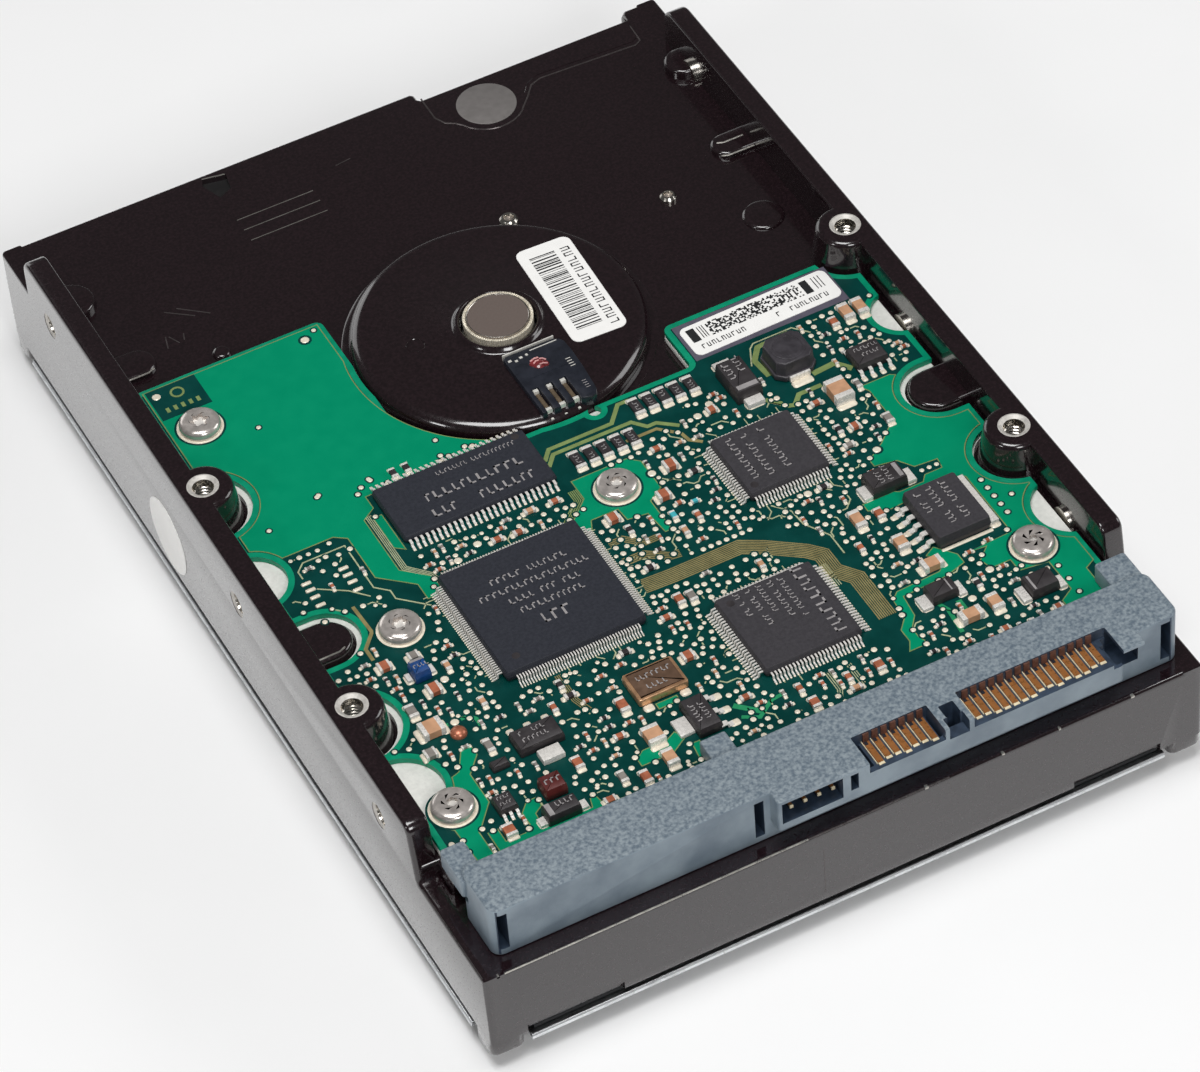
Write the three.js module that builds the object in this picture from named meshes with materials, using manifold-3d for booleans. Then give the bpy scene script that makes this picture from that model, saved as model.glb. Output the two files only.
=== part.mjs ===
// A 3.5-inch hard disk drive with serial connectors, board side up and cover side down.
// Millimetres. X is the width, Y the length with the connector end at -Y, Z is up.
// The cover's flat face lies at z = 0 and the mounting rails end at z = 26.1.

import * as THREE from 'three';
import * as BufferGeometryUtils from 'three/addons/utils/BufferGeometryUtils.js';
import Module from 'manifold-3d';

const wasm = await Module();
wasm.setup();

// ---------------------------------------------------------------- driving dimensions

const WIDTH = 101.6;
const LENGTH = 147;
const HEIGHT = 26.1;
const HALF_W = WIDTH / 2;
const HALF_L = LENGTH / 2;
const BACK_STEP = { x0: 12.3, x1: 45, y: 71.6 };   // where the back edge is set in

const COVER_SHEET = 0.9;
const FLANGE_Z = 2.9;                    // outer face of the cover's flange
const FOOT_Z = 2.5;                      // lowest point of the casting's corner feet
const FOOT_SIZE = 4.8;
const RIM_Z = 4.6;                       // where the casting's wall meets the gasket
const CAVITY_TOP_Z = 16.4;               // inner face of the casting's floor
const LEDGE_Z = 17.25;                   // shelf that carries the connector
const LEDGE_Y = -59.5;
const RAIL_END_Y = -55.4;                // where the rails come down to the ledge
const FLOOR_Z = 19.7;                    // outer face of the casting's floor
const BOARD_Z = 20.9;
const BOARD_TOP_Z = 21.8;
const RAIL_INNER_X = 47.7;
const GAP = 0.1;

// Threaded mounting holes of the 3.5-inch form factor.
const BOTTOM_HOLE_X = 47.625;
const BOTTOM_HOLE_Y = [41.28 - HALF_L, 41.28 + 44.45 - HALF_L];
const SIDE_HOLE_Y = [28.5, 28.5 + 41.6, 28.5 + 101.6].map((y) => y - HALF_L);
const SIDE_HOLE_Z = HEIGHT - 6.35;
const THREAD_R = 1.45;

const SPINDLE = [0.5, 23];
const DISC_R = 19.4;                     // raised disc of the casting over the motor
const PLATTER_R = 47.5;
const PLATTER_T = 1.27;
const PLATTER_BORE_R = 12.5;
const PLATTER_Z = [5.4, 10.2];

const PIVOT = [27.5, -27];
const HEAD_REACH = 51;                   // pivot to read head
const ARM_ANGLE = 97.9;                  // arm direction with the heads parked, degrees from +X
const ARM_SWEEP = 28.5;                  // clockwise travel to the outer track
const COIL_ANGLE = ARM_ANGLE + 180;
const MAGNET_ANGLE = COIL_ANGLE - ARM_SWEEP / 2;

const COVER_SCREWS = [
  [-41.5, -67.4], [41.5, -67.4], [-47, -16], [47, -16], [-41.5, 67], [41.5, 66],
];
const BOARD_SCREWS = [[-42, 26.4], [-35.3, -20], [0, -12], [-43, -50.4], [40.9, -48.4]];

// ---------------------------------------------------------------- solids

function toSolid(geometry) {
  const bare = geometry.clone();
  bare.deleteAttribute('normal');
  bare.deleteAttribute('uv');
  const merged = BufferGeometryUtils.mergeVertices(bare, 1e-4);
  return new wasm.Manifold(new wasm.Mesh({
    numProp: 3,
    vertProperties: new Float32Array(merged.attributes.position.array),
    triVerts: new Uint32Array(merged.index.array),
  }));
}

function toGeometry(solid) {
  const mesh = solid.getMesh();
  const geometry = new THREE.BufferGeometry();
  geometry.setAttribute('position', new THREE.BufferAttribute(mesh.vertProperties, 3));
  geometry.setIndex(new THREE.BufferAttribute(mesh.triVerts, 1));
  geometry.computeVertexNormals();
  return geometry;
}

// An outline in the XY plane, as points or a THREE.Shape, raised from z0 to z1.
function slab(outline, z0, z1, segments = 8) {
  const isShape = outline instanceof THREE.Shape;
  const shape = isShape ? outline : new THREE.Shape(outline.map(([x, y]) => new THREE.Vector2(x, y)));
  const geometry = new THREE.ExtrudeGeometry(shape, {
    depth: z1 - z0, bevelEnabled: false, curveSegments: segments,
  });
  return toSolid(geometry.translate(0, 0, z0));
}

function box(x0, x1, y0, y1, z0, z1) {
  const geometry = new THREE.BoxGeometry(x1 - x0, y1 - y0, z1 - z0);
  return toSolid(geometry.translate((x0 + x1) / 2, (y0 + y1) / 2, (z0 + z1) / 2));
}

// A round bar standing on z0, with its own radius at the top.
function rod([x, y], radius, z0, z1, segments = 14, topRadius = radius) {
  const geometry = new THREE.CylinderGeometry(topRadius, radius, z1 - z0, segments);
  return toSolid(geometry.rotateX(Math.PI / 2).translate(x, y, (z0 + z1) / 2));
}

// A flat ring, closed on itself.
function ring([x, y], inner, outer, z0, z1, segments = 24) {
  const profile = [[inner, z0], [outer, z0], [outer, z1], [inner, z1], [inner, z0]];
  const geometry = new THREE.LatheGeometry(profile.map(([r, z]) => new THREE.Vector2(r, z)), segments);
  return toSolid(geometry.rotateX(Math.PI / 2).translate(x, y, 0));
}

function polar([x, y], radius, degrees) {
  const a = THREE.MathUtils.degToRad(degrees);
  return [x + radius * Math.cos(a), y + radius * Math.sin(a)];
}

// A ring sector between two radii, from angle a0 to a1 in degrees.
function sector(centre, inner, outer, a0, a1, z0, z1, steps = 10) {
  const angles = Array.from({ length: steps + 1 }, (_, i) => a0 + (a1 - a0) * i / steps);
  const outerArc = angles.map((a) => polar(centre, outer, a));
  const innerArc = angles.reverse().map((a) => polar(centre, inner, a));
  return slab([...outerArc, ...innerArc], z0, z1);
}

function roundedRect(x0, x1, y0, y1, r) {
  const shape = new THREE.Shape();
  shape.absarc(x1 - r, y0 + r, r, -Math.PI / 2, 0);
  shape.absarc(x1 - r, y1 - r, r, 0, Math.PI / 2);
  shape.absarc(x0 + r, y1 - r, r, Math.PI / 2, Math.PI);
  shape.absarc(x0 + r, y0 + r, r, Math.PI, Math.PI * 1.5);
  return shape;
}

// A straight bar with round ends between two points, seen from above.
function pill([x0, y0], [x1, y1], radius, z0, z1, segments = 7) {
  const along = Math.atan2(y1 - y0, x1 - x0);
  const shape = new THREE.Shape();
  shape.absarc(x1, y1, radius, along - Math.PI / 2, along + Math.PI / 2);
  shape.absarc(x0, y0, radius, along + Math.PI / 2, along + Math.PI * 1.5);
  return slab(shape, z0, z1, segments);
}

function joined(parts) {
  return parts.reduce((whole, part) => whole.add(part));
}

function cut(body, tools) {
  return tools.reduce((rest, tool) => rest.subtract(tool), body);
}

// ---------------------------------------------------------------- materials

function material(color, metalness, roughness) {
  return new THREE.MeshStandardMaterial({ color, metalness, roughness });
}

const BLACK_COAT = material(0x1c1416, 0.3, 0.35);
const STEEL = material(0xb9bcbf, 1, 0.3);
const ALUMINIUM = material(0xc6c8ca, 1, 0.35);
const MIRROR = material(0xdfe3e6, 1, 0.05);
const MAGNET = material(0x9da0a4, 1, 0.4);
const COPPER = material(0xb06a3b, 1, 0.35);
const BOARD_GREEN = material(0x005a46, 0, 0.4);
const CHIP_BLACK = material(0x3c393d, 0, 0.55);
const CONNECTOR_GREY = material(0x5c6872, 0, 0.6);
const FOAM_WHITE = material(0xdedcd6, 0, 0.9);
const RUBBER = material(0x202224, 0, 0.8);
const AMBER_FILM = material(0xb5722c, 0, 0.5);
const PLASTIC_BLACK = material(0x17181a, 0, 0.45);
const FILTER_WHITE = material(0xf0efe9, 0, 0.9);

// ---------------------------------------------------------------- casting and cover

const CASTING_OUTLINE = [
  [-49.3, -HALF_L], [49.3, -HALF_L], [HALF_W, -72], [HALF_W, 72], [49.3, HALF_L],
  [BACK_STEP.x1, HALF_L], [BACK_STEP.x1, BACK_STEP.y], [BACK_STEP.x0, BACK_STEP.y],
  [BACK_STEP.x0, HALF_L], [-49.3, HALF_L],
  [-HALF_W, 72], [-HALF_W, -72],
];

// The hollow that holds the platters and the actuator, widened by margin.
// It leaves a round post for the cover screws at the connector end.
function cavity(z0, z1, margin = 0) {
  const disc = rod(SPINDLE, PLATTER_R + 0.6 + margin, z0, z1, 56);
  const bay = box(-43.5 - margin, 43.5 + margin, -70.3 - margin, 6, z0, z1);
  const posts = COVER_SCREWS.slice(0, 2).map((at) => rod(at, 3.7 - margin, z0 - 1, z1 + 1));
  return cut(disc.add(bay), posts);
}

// One side rail: a wall along the edge, sloping down to the ledge at the connector end.
function rail(side) {
  const profile = new THREE.Shape([
    [RAIL_END_Y, LEDGE_Z - 1], [RAIL_END_Y, LEDGE_Z], [-53.9, HEIGHT - 0.7], [-53.1, HEIGHT],
    [62.6, HEIGHT], [64.2, HEIGHT - 0.9], [64.6, HEIGHT - 2.4], [64.6, LEDGE_Z - 1],
  ].map(([y, z]) => new THREE.Vector2(y, z)));
  const wall = new THREE.ExtrudeGeometry(profile, { depth: HALF_W - RAIL_INNER_X, bevelEnabled: false });
  wall.rotateX(Math.PI / 2).rotateZ(Math.PI / 2);
  return toSolid(wall.translate(side > 0 ? RAIL_INNER_X : -HALF_W, 0, 0));
}

function sideHole(side, y) {
  const bore = new THREE.CylinderGeometry(THREAD_R, THREAD_R, 5.6, 10);
  return toSolid(bore.rotateZ(Math.PI / 2).translate(side * HALF_W, y, SIDE_HOLE_Z));
}

function castingPads() {
  const z0 = FLOOR_Z - 1;
  return [
    pill([-49, -16.7], [-44.2, -16.7], 3.6, z0, BOARD_TOP_Z),
    pill([49, -17], [44.6, -17], 3.9, z0, BOARD_TOP_Z),
    pill([-49, 43.2], [-43.8, 43.2], 2.8, z0, FLOOR_Z + 0.9),
    pill([49, 40.4], [44.5, 40.4], 2.5, z0, FLOOR_Z + 0.9),
    pill([-49, 58.4], [-46.8, 58.4], 3.6, z0, FLOOR_Z + 1.6),
    pill([49, 58], [47.4, 58], 3.3, z0, FLOOR_Z + 1.6),
    rod([41.4, 22.6], 3, z0, FLOOR_Z + 0.7, 16),
  ];
}

function baseCasting() {
  const outer = slab(CASTING_OUTLINE, RIM_Z, FLOOR_Z);
  const shelf = box(-60, 60, -80, LEDGE_Y, LEDGE_Z, 40);
  const railFeet = [-60, RAIL_INNER_X].map((x) => box(x, x + 60 - RAIL_INNER_X, LEDGE_Y - 1, RAIL_END_Y, LEDGE_Z, 40));
  const bosses = [-1, 1].flatMap((side) => BOTTOM_HOLE_Y.map((y) => {
    return rod([side * BOTTOM_HOLE_X, y], 4.9, FLOOR_Z - 1, HEIGHT, 20, 3.9);
  }));
  const feet = [-1, 1].flatMap((sx) => [-1, 1].map((sy) => {
    const x = sx * (HALF_W - FOOT_SIZE / 2);
    const y = sy * (HALF_L - FOOT_SIZE / 2);
    const h = FOOT_SIZE / 2;
    return box(x - h, x + h, y - h, y + h, FOOT_Z, RIM_Z + 1);
  }));
  const standoffs = BOARD_SCREWS.map((at) => rod(at, 3, FLOOR_Z - 1, BOARD_Z - GAP));
  const disc = rod(SPINDLE, DISC_R + 0.6, FLOOR_Z - 1, 21.7, 56, DISC_R);
  const collar = rod(SPINDLE, 6.6, 20, 22.2, 24, 6.2);
  const limits = slab(CASTING_OUTLINE, 0, HEIGHT);
  const whole = joined([
    cut(outer, [shelf, ...railFeet]), rail(-1), rail(1), ...bosses, ...feet, ...standoffs,
    disc, collar, ...castingPads(),
  ]).intersect(limits);
  return cut(whole, [
    cavity(0, CAVITY_TOP_Z),
    rod(SPINDLE, 5.2, 0, 40, 24),
    box(0.6, 16.4, -31.6, -26.4, 0, 40),
    box(-46, -33, -80, -71.3, 0, 6),
    box(31, 45, -80, -71.3, 0, 6),
    ...[-1, 1].flatMap((side) => BOTTOM_HOLE_Y.map((y) => rod([side * BOTTOM_HOLE_X, y], THREAD_R, 20, 40, 12))),
    ...[-1, 1].flatMap((side) => SIDE_HOLE_Y.map((y) => sideHole(side, y))),
    ...COVER_SCREWS.map((at) => rod(at, 1.6, 0, 11.2, 10)),
    ...BOARD_SCREWS.map((at) => rod(at, 1.4, 17, 40, 10)),
  ]);
}

// The outline of the cover's flange: a rectangle with its corners cut clear of the casting's feet
// and the same step in the back edge as the casting.
function coverOutline(inset) {
  const x = HALF_W - inset;
  const y = HALF_L - inset;
  const c = FOOT_SIZE + 0.7;
  const step = { x0: BACK_STEP.x0 - inset, y: BACK_STEP.y - inset };
  return [
    [-x + c, -y], [x - c, -y], [x - c, -y + c], [x, -y + c], [x, y - c], [x - c, y - c],
    [x - c, step.y], [step.x0, step.y], [step.x0, y], [-x + c, y],
    [-x + c, y - c], [-x, y - c], [-x, -y + c], [-x + c, -y + c],
  ];
}

function plateau(inset, z0, z1) {
  const x = 42 - inset;
  const y = 68 - inset;
  const c = 9;
  const outline = [
    [-x + c, -y], [x - c, -y], [x, -y + c], [x, y - c], [x - c, y], [-x + c, y], [-x, y - c], [-x, -y + c],
  ];
  return slab(outline, z0, z1);
}

function topCover() {
  const flange = slab(coverOutline(0.3), FLANGE_Z, FLANGE_Z + COVER_SHEET);
  const inside = plateau(COVER_SHEET, COVER_SHEET, 10).subtract(rod(PIVOT, 5.6, 0, 1.6 + COVER_SHEET, 20));
  return cut(flange.add(plateau(0, 0, FLANGE_Z + COVER_SHEET)), [
    inside,
    rod(PIVOT, 4.6, -1, 1.5, 20),
    rod(PIVOT, 1.7, -1, 10, 12),
    ...COVER_SCREWS.map((at) => rod(at, 1.7, -1, 10, 10)),
  ]);
}

function coverGasket() {
  const top = RIM_Z - GAP;
  const outer = slab(coverOutline(0.9), FLANGE_Z + COVER_SHEET + GAP, top);
  return cut(outer, [cavity(0, 10, 0.3), ...COVER_SCREWS.map((at) => rod(at, 2, 0, 10, 10))]);
}

// A pan-head screw whose head lies between headZ and seatZ; the shank runs on to tipZ.
function screw(at, headR, shankR, headZ, seatZ, tipZ) {
  const [h0, h1] = [headZ, seatZ].sort((a, b) => a - b);
  const [s0, s1] = [seatZ, tipZ].sort((a, b) => a - b);
  return rod(at, headR, h0, h1, 16).add(rod(at, shankR, s0 - 0.3, s1 + 0.3, 10));
}

// ---------------------------------------------------------------- circuit board

const BOARD_OUTLINE = [
  [-47.2, -64], [46.9, -64], [46.9, 9.2], [44, 11.6], [19, 11.4], [19, 3], [-19.6, 3],
  [-19.6, 36.6], [-47.2, 36.6],
];

// Edge notches of the board and the foam: around mounting bosses, casting pads and side holes.
function boardNotches(z0, z1, clear = 0) {
  const notches = [
    [-47.6, 12.2, 6], [-47.6, -32.2, 6], [47.6, 12.2, 5.2], [47.6, -32.2, 5.4],
    [-48.2, -2.9, 4.7 - clear], [-47.2, -44.6, 5.5 - clear], [48.2, -1.9, 4.2], [49.2, -44.2, 5.4],
  ];
  return [
    ...notches.map(([x, y, r]) => rod([x, y], r, z0, z1, 20)),
    pill([-52, -16.7], [-44.4, -16.7], 4.7, z0, z1),
    pill([52, -17], [44.9, -17], 4.9, z0, z1),
    rod(SPINDLE, DISC_R + 1, z0, z1, 56),
    ...BOARD_SCREWS.map((at) => rod(at, 1.5, z0, z1, 10)),
  ];
}

function circuitBoard() {
  return cut(slab(BOARD_OUTLINE, BOARD_Z, BOARD_TOP_Z), boardNotches(20, 23));
}

// The foam sheet between the board and the casting, with room for the standoffs.
function foamPad() {
  const outline = BOARD_OUTLINE.map(([x, y]) => [x, Math.max(y, -59)]);
  return cut(slab(outline, FLOOR_Z + GAP, BOARD_Z - GAP), [
    rod([-47.6, 12.2], 5.2, 19, 22), rod([-47.6, -32.2], 5.2, 19, 22),
    rod([47.6, 12.2], 5.2, 19, 22), rod([47.6, -32.2], 5.2, 19, 22),
    pill([-52, -16.7], [-44.4, -16.7], 4, 19, 22), pill([52, -17], [44.9, -17], 4.3, 19, 22),
    rod(SPINDLE, DISC_R + 1, 19, 22, 56),
    box(0.4, 16.6, -31.8, -26.2, 19, 22),
    ...BOARD_SCREWS.map((at) => rod(at, 3.2, 19, 22)),
  ]);
}

function chip(cx, cy, w, d, z1, corner = 0.6) {
  return slab(roundedRect(cx - w / 2, cx + w / 2, cy - d / 2, cy + d / 2, corner), BOARD_TOP_Z + GAP, z1, 2);
}

// The moulded bar with the data, power and jumper sockets, lying on the casting's ledge.
// Its middle stands out over the ledge and carries the two contact tongues.
function connectorHousing() {
  const z0 = LEDGE_Z + GAP;
  const top = 25.6;
  const tongueZ = 23.4;
  const bar = slab(roundedRect(-47.9, 48.8, -70.9, -62.3, 1.5), z0, top, 4);
  const nose = box(-9.7, 39.4, -73.1, -70, 20.3, top);
  const tab = box(39, 42.5, -72.9, -70, 25, top);
  const armZ = BOARD_TOP_Z + GAP;
  const arms = [box(-47.6, -45, -64, -58, armZ, 24.7), box(44.4, 47.6, -64, -57.8, armZ, 24.7)];
  const peg = box(-12.6, -8.9, -64, -58, armZ, 24.2);
  const dataSocket = [box(3.1, 13.8, -74, -68.2, tongueZ, 40), box(3.1, 4.1, -74, -68.2, 21, 40)];
  const powerSocket = [
    box(17.9, 39.4, -74, -68.2, tongueZ, 40),
    box(17.9, 18.5, -74, -68.2, 21, 40),
    box(37.9, 39.3, -74, -68.2, 22.6, 40),
  ];
  return cut(joined([bar, nose, tab, ...arms, peg]), [
    box(-49, 51, -64.3, -50, BOARD_Z - GAP, BOARD_TOP_Z + GAP),
    ...dataSocket,
    box(14.9, 17, -71.3, -69.2, 20.8, 40),
    box(14.4, 17.2, -74, -71.3, 23.6, 40),
    ...powerSocket,
    box(39.3, 42.7, -74, -68, 20.5, 25),
    box(-9.2, -0.7, -74, -66, 21.6, 25.1),
    box(0.4, 1.5, -74, -68, 22.2, 24.9),
    box(-11.9, -10.6, -72, -66.5, 18.4, 24.8),
    box(-47.1, -45.8, -72, -66.5, 18.4, 24.8),
    box(46, 47.4, -72, -66.5, 18.4, 24.8),
  ]);
}

// The contact carrier that reaches from the motor disc over the board's edge.
function motorConnector() {
  const z0 = 21.8 + GAP;
  const body = slab(roundedRect(-2.6, 6.1, 8.3, 15.7, 0.8), z0, 23.5, 2);
  const fingers = [[-2.6, -1.95], [-0.95, 0.05], [1.05, 2.05], [3.05, 5.6]];
  return joined([body, ...fingers.map(([x0, x1]) => box(x0, x1, 3.6, 9, z0 + 0.1, 23))]);
}

// A square choke with cut corners.
function powerInductor() {
  const [cx, cy, h, c] = [30.2, -3.2, 3.1, 1.1];
  const outline = [
    [-h + c, -h], [h - c, -h], [h, -h + c], [h, h - c], [h - c, h], [-h + c, h], [-h, h - c], [-h, -h + c],
  ].map(([x, y]) => [cx + x, cy + y]);
  return slab(outline, BOARD_TOP_Z + GAP, 24.9);
}

// ---------------------------------------------------------------- spindle motor and platters

const SLEEVE_R = 5;
const SHAFT_R = 2;
const HUB_R = 12.4;

function statorCore() {
  const yoke = ring(SPINDLE, SLEEVE_R + 0.2, 6.8, 9.8, 13, 18);
  const teeth = Array.from({ length: 9 }, (_, i) => {
    const a = i * 40;
    const pole = sector(SPINDLE, 9.1, 10.1, a - 14, a + 14, 9.8, 13, 2);
    const stem = sector(SPINDLE, 6, 9.3, a - 5, a + 5, 9.8, 13, 1);
    return pole.add(stem);
  });
  return joined([yoke, ...teeth]);
}

// The windings' end turns, one bulge per tooth on a common ring.
function statorWindings() {
  const bulges = Array.from({ length: 9 }, (_, i) => sector(SPINDLE, 6.2, 9, i * 40 - 12, i * 40 + 12, 7.6, 9.6, 2));
  return joined([ring(SPINDLE, 5.3, 6.5, 7.9, 9.4, 18), ...bulges]);
}

function spindleHub() {
  const cup = rod(SPINDLE, HUB_R, 3.9, 13.9, 32);
  const flange = rod(SPINDLE, 15.4, PLATTER_Z[1] + PLATTER_T + 0.05, 13, 32);
  return cut(cup.add(flange), [
    rod(SPINDLE, 11.4, 6.4, 20, 32),
    rod(SPINDLE, SHAFT_R + 0.1, 0, 20, 20),
  ]);
}

function diskClamp() {
  const plate = ring(SPINDLE, 2.4, 14.6, 2.9, 3.7, 32);
  const rim = ring(SPINDLE, 13, 14.6, 3.5, PLATTER_Z[0] - 0.05, 32);
  return plate.add(rim);
}

// ---------------------------------------------------------------- actuator

// A blade that narrows from the pivot end to the tip, along one direction from the pivot.
function blade(angle, start, end, w0, w1, z0, z1) {
  const a0 = THREE.MathUtils.radToDeg(Math.atan2(w0, start));
  const a1 = THREE.MathUtils.radToDeg(Math.atan2(w1, end));
  const r0 = Math.hypot(start, w0);
  const r1 = Math.hypot(end, w1);
  return slab([
    polar(PIVOT, r0, angle - a0), polar(PIVOT, r1, angle - a1),
    polar(PIVOT, r1, angle + a1), polar(PIVOT, r0, angle + a0),
  ], z0, z1);
}

const ARM_Z = [[3.9, 4.6], [7.9, 8.9], [12.8, 13.7]];
const COIL_Z = [7.1, 9.9];

function actuatorArm() {
  const block = rod(PIVOT, 8, 3.3, 13.7, 24);
  const arms = ARM_Z.map(([z0, z1]) => blade(ARM_ANGLE, 5, 36, 5.6, 2.6, z0, z1));
  const fork = sector(PIVOT, 6, 27, COIL_ANGLE - 17, COIL_ANGLE + 17, COIL_Z[0], COIL_Z[1], 8);
  const window = sector(PIVOT, 12.4, 25.4, COIL_ANGLE - 14.2, COIL_ANGLE + 14.2, 0, 20, 8);
  return cut(joined([block, ...arms, fork]), [window, rod(PIVOT, 6, 0, 20, 24)]);
}

function voiceCoil() {
  const outer = sector(PIVOT, 12.6, 25.2, COIL_ANGLE - 13.4, COIL_ANGLE + 13.4, COIL_Z[0] + 0.2, COIL_Z[1] - 0.2, 8);
  const inner = sector(PIVOT, 16.4, 21.6, COIL_ANGLE - 5.6, COIL_ANGLE + 5.6, 0, 20, 4);
  return outer.subtract(inner);
}

// A sprung blade with its slider at the tip; springZ is the blade's lower face.
function headSuspension(springZ, sliderZ0, sliderZ1) {
  const spring = blade(ARM_ANGLE, 31, HEAD_REACH + 0.8, 2.4, 0.7, springZ, springZ + 0.25);
  const slider = blade(ARM_ANGLE, HEAD_REACH - 0.6, HEAD_REACH + 0.6, 0.5, 0.5, sliderZ0, sliderZ1);
  return spring.add(slider);
}

const SUSPENSIONS = [
  [4.65, 4.8, 5.25], [7.55, 6.8, 7.7], [9, 9.1, 10.05], [12.45, 11.6, 12.6],
];

function magnetSector(z0, z1, grow = 0) {
  const half = 34 + grow;
  return sector(PIVOT, 12.6 - grow / 3, 26.4 + grow / 3, MAGNET_ANGLE - half, MAGNET_ANGLE + half, z0, z1, 9);
}

const STOP_ANGLES = [MAGNET_ANGLE - 38, MAGNET_ANGLE + 38];
const STOP_AT = STOP_ANGLES.map((a) => polar(PIVOT, 21, a));
const LATCH_PIN = [39.5, -60.5];

function yoke(z0, z1, holeR) {
  const ears = STOP_AT.map((at) => rod(at, 2.4, z0, z1));
  const holes = STOP_AT.map((at) => rod(at, holeR, z0 - 1, z1 + 1, 10));
  return cut(joined([magnetSector(z0, z1, 1.5), ...ears]), holes);
}

function actuatorLatch() {
  const tip = polar(LATCH_PIN, 7, 118);
  const lever = pill(LATCH_PIN, tip, 1.1, 7.4, 9.6, 4);
  return rod(LATCH_PIN, 2.5, 6.8, 10.2, 16).add(lever).subtract(rod(LATCH_PIN, 1.28, 0, 20, 16));
}

// The ribbon from the arm's side, looping to the block that passes through the casting's floor.
function flexCable() {
  const from = new THREE.Vector2(18.4, -29);
  const to = new THREE.Vector2(9.4, -32.6);
  const curve = new THREE.CubicBezierCurve(from, new THREE.Vector2(11, -24), new THREE.Vector2(3, -35), to);
  const points = curve.getPoints(14);
  const normals = points.map((_, i) => {
    const t = curve.getTangent(i / 14);
    return new THREE.Vector2(-t.y, t.x).multiplyScalar(0.15);
  });
  const left = points.map((p, i) => [p.x + normals[i].x, p.y + normals[i].y]);
  const right = points.map((p, i) => [p.x - normals[i].x, p.y - normals[i].y]).reverse();
  return slab([...left, ...right], 5, 12.4);
}

// ---------------------------------------------------------------- assembly

const drive = new THREE.Group();

function add(name, solid, finish) {
  const mesh = new THREE.Mesh(toGeometry(solid), finish);
  mesh.name = name;
  drive.add(mesh);
}

add('base_casting', baseCasting(), BLACK_COAT);
add('top_cover', topCover(), STEEL);
add('cover_gasket', coverGasket(), RUBBER);
COVER_SCREWS.forEach((at, i) => add(`cover_screw_${i + 1}`, screw(at, 2.7, 1.35, 1.1, 2.8, 10.4), STEEL));
add('pivot_cover_screw', screw(PIVOT, 3.9, 1.4, 0.3, 1.4, 8), STEEL);

add('circuit_board', circuitBoard(), BOARD_GREEN);
add('foam_pad', foamPad(), FOAM_WHITE);
BOARD_SCREWS.forEach((at, i) => add(`board_screw_${i + 1}`, screw(at, 2.8, 1.15, 23.2, BOARD_TOP_Z + GAP, 17.6), STEEL));
add('connector_housing', connectorHousing(), CONNECTOR_GREY);
add('motor_connector', motorConnector(), PLASTIC_BLACK);
add('controller_chip', chip(-17.8, -25.3, 20, 20, 23.5), CHIP_BLACK);
add('memory_chip', chip(-17.1, -1.9, 22.2, 10.2, 23), CHIP_BLACK);
add('motor_driver_chip', chip(19.5, -17.6, 11.8, 11.5, 23.4), CHIP_BLACK);
add('interface_chip', chip(7.5, -44.2, 14, 14, 23.4), CHIP_BLACK);
add('regulator_chip', chip(34, -38.3, 7.9, 9.8, 24), CHIP_BLACK);
add('power_inductor', powerInductor(), PLASTIC_BLACK);
add('clock_crystal', chip(-11.9, -45, 7, 5, 23.2, 0.3), STEEL);

add('bearing_cap', rod(SPINDLE, 4.9, 21, 22.9, 28, 4.6), STEEL);
add('bearing_sleeve', ring(SPINDLE, SHAFT_R + 0.08, SLEEVE_R, 6.7, 20.8), STEEL);
add('stator_core', statorCore(), STEEL);
add('stator_windings', statorWindings(), COPPER);
add('spindle_shaft', rod(SPINDLE, SHAFT_R, 4.4, 20.4, 20), STEEL);
add('spindle_hub', spindleHub(), ALUMINIUM);
add('rotor_magnet', ring(SPINDLE, 10.4, 11.25, 7.2, 13.8, 32), MAGNET);
add('platter_lower', ring(SPINDLE, PLATTER_BORE_R, PLATTER_R, PLATTER_Z[0], PLATTER_Z[0] + PLATTER_T, 56), MIRROR);
add('platter_spacer', ring(SPINDLE, PLATTER_BORE_R, 15.4, PLATTER_Z[0] + PLATTER_T + 0.05, PLATTER_Z[1] - 0.05, 32),
  ALUMINIUM);
add('platter_upper', ring(SPINDLE, PLATTER_BORE_R, PLATTER_R, PLATTER_Z[1], PLATTER_Z[1] + PLATTER_T, 56), MIRROR);
add('disk_clamp', diskClamp(), STEEL);
add('clamp_screw', screw(SPINDLE, 3.6, 1.7, 1.5, 2.8, 4).intersect(rod(SPINDLE, 8, 0, 4.2)), STEEL);

add('actuator_arm', actuatorArm(), ALUMINIUM);
add('pivot_shaft', rod(PIVOT, 3, 2.7, 16.2, 20).subtract(rod(PIVOT, 1.7, 0, 9.4, 12)), STEEL);
add('pivot_bearing_lower', ring(PIVOT, 3.08, 5.9, 3.3, 5.6), STEEL);
add('pivot_bearing_upper', ring(PIVOT, 3.08, 5.9, 11.3, 13.6), STEEL);
add('voice_coil', voiceCoil(), COPPER);
SUSPENSIONS.forEach((levels, i) => add(`head_suspension_${i + 1}`, headSuspension(...levels), STEEL));
add('flex_cable', flexCable(), AMBER_FILM);
add('flex_connector', box(1, 16, -31.2, -26.8, 12.6, 20.6), PLASTIC_BLACK);
add('vcm_lower_yoke', yoke(2, 3.6, 1.2), STEEL);
add('vcm_lower_magnet', magnetSector(3.7, 6), MAGNET);
add('vcm_upper_magnet', magnetSector(11, 13.3), MAGNET);
add('vcm_upper_yoke', yoke(13.4, 15.8, 1.2), STEEL);
STOP_AT.forEach((at, i) => {
  add(`yoke_post_${i + 1}`, rod(at, 1.1, 2.2, 16.2, 10), STEEL);
});
add('latch_pin', rod(LATCH_PIN, 1.2, 4, 16.2, 16), STEEL);
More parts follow.
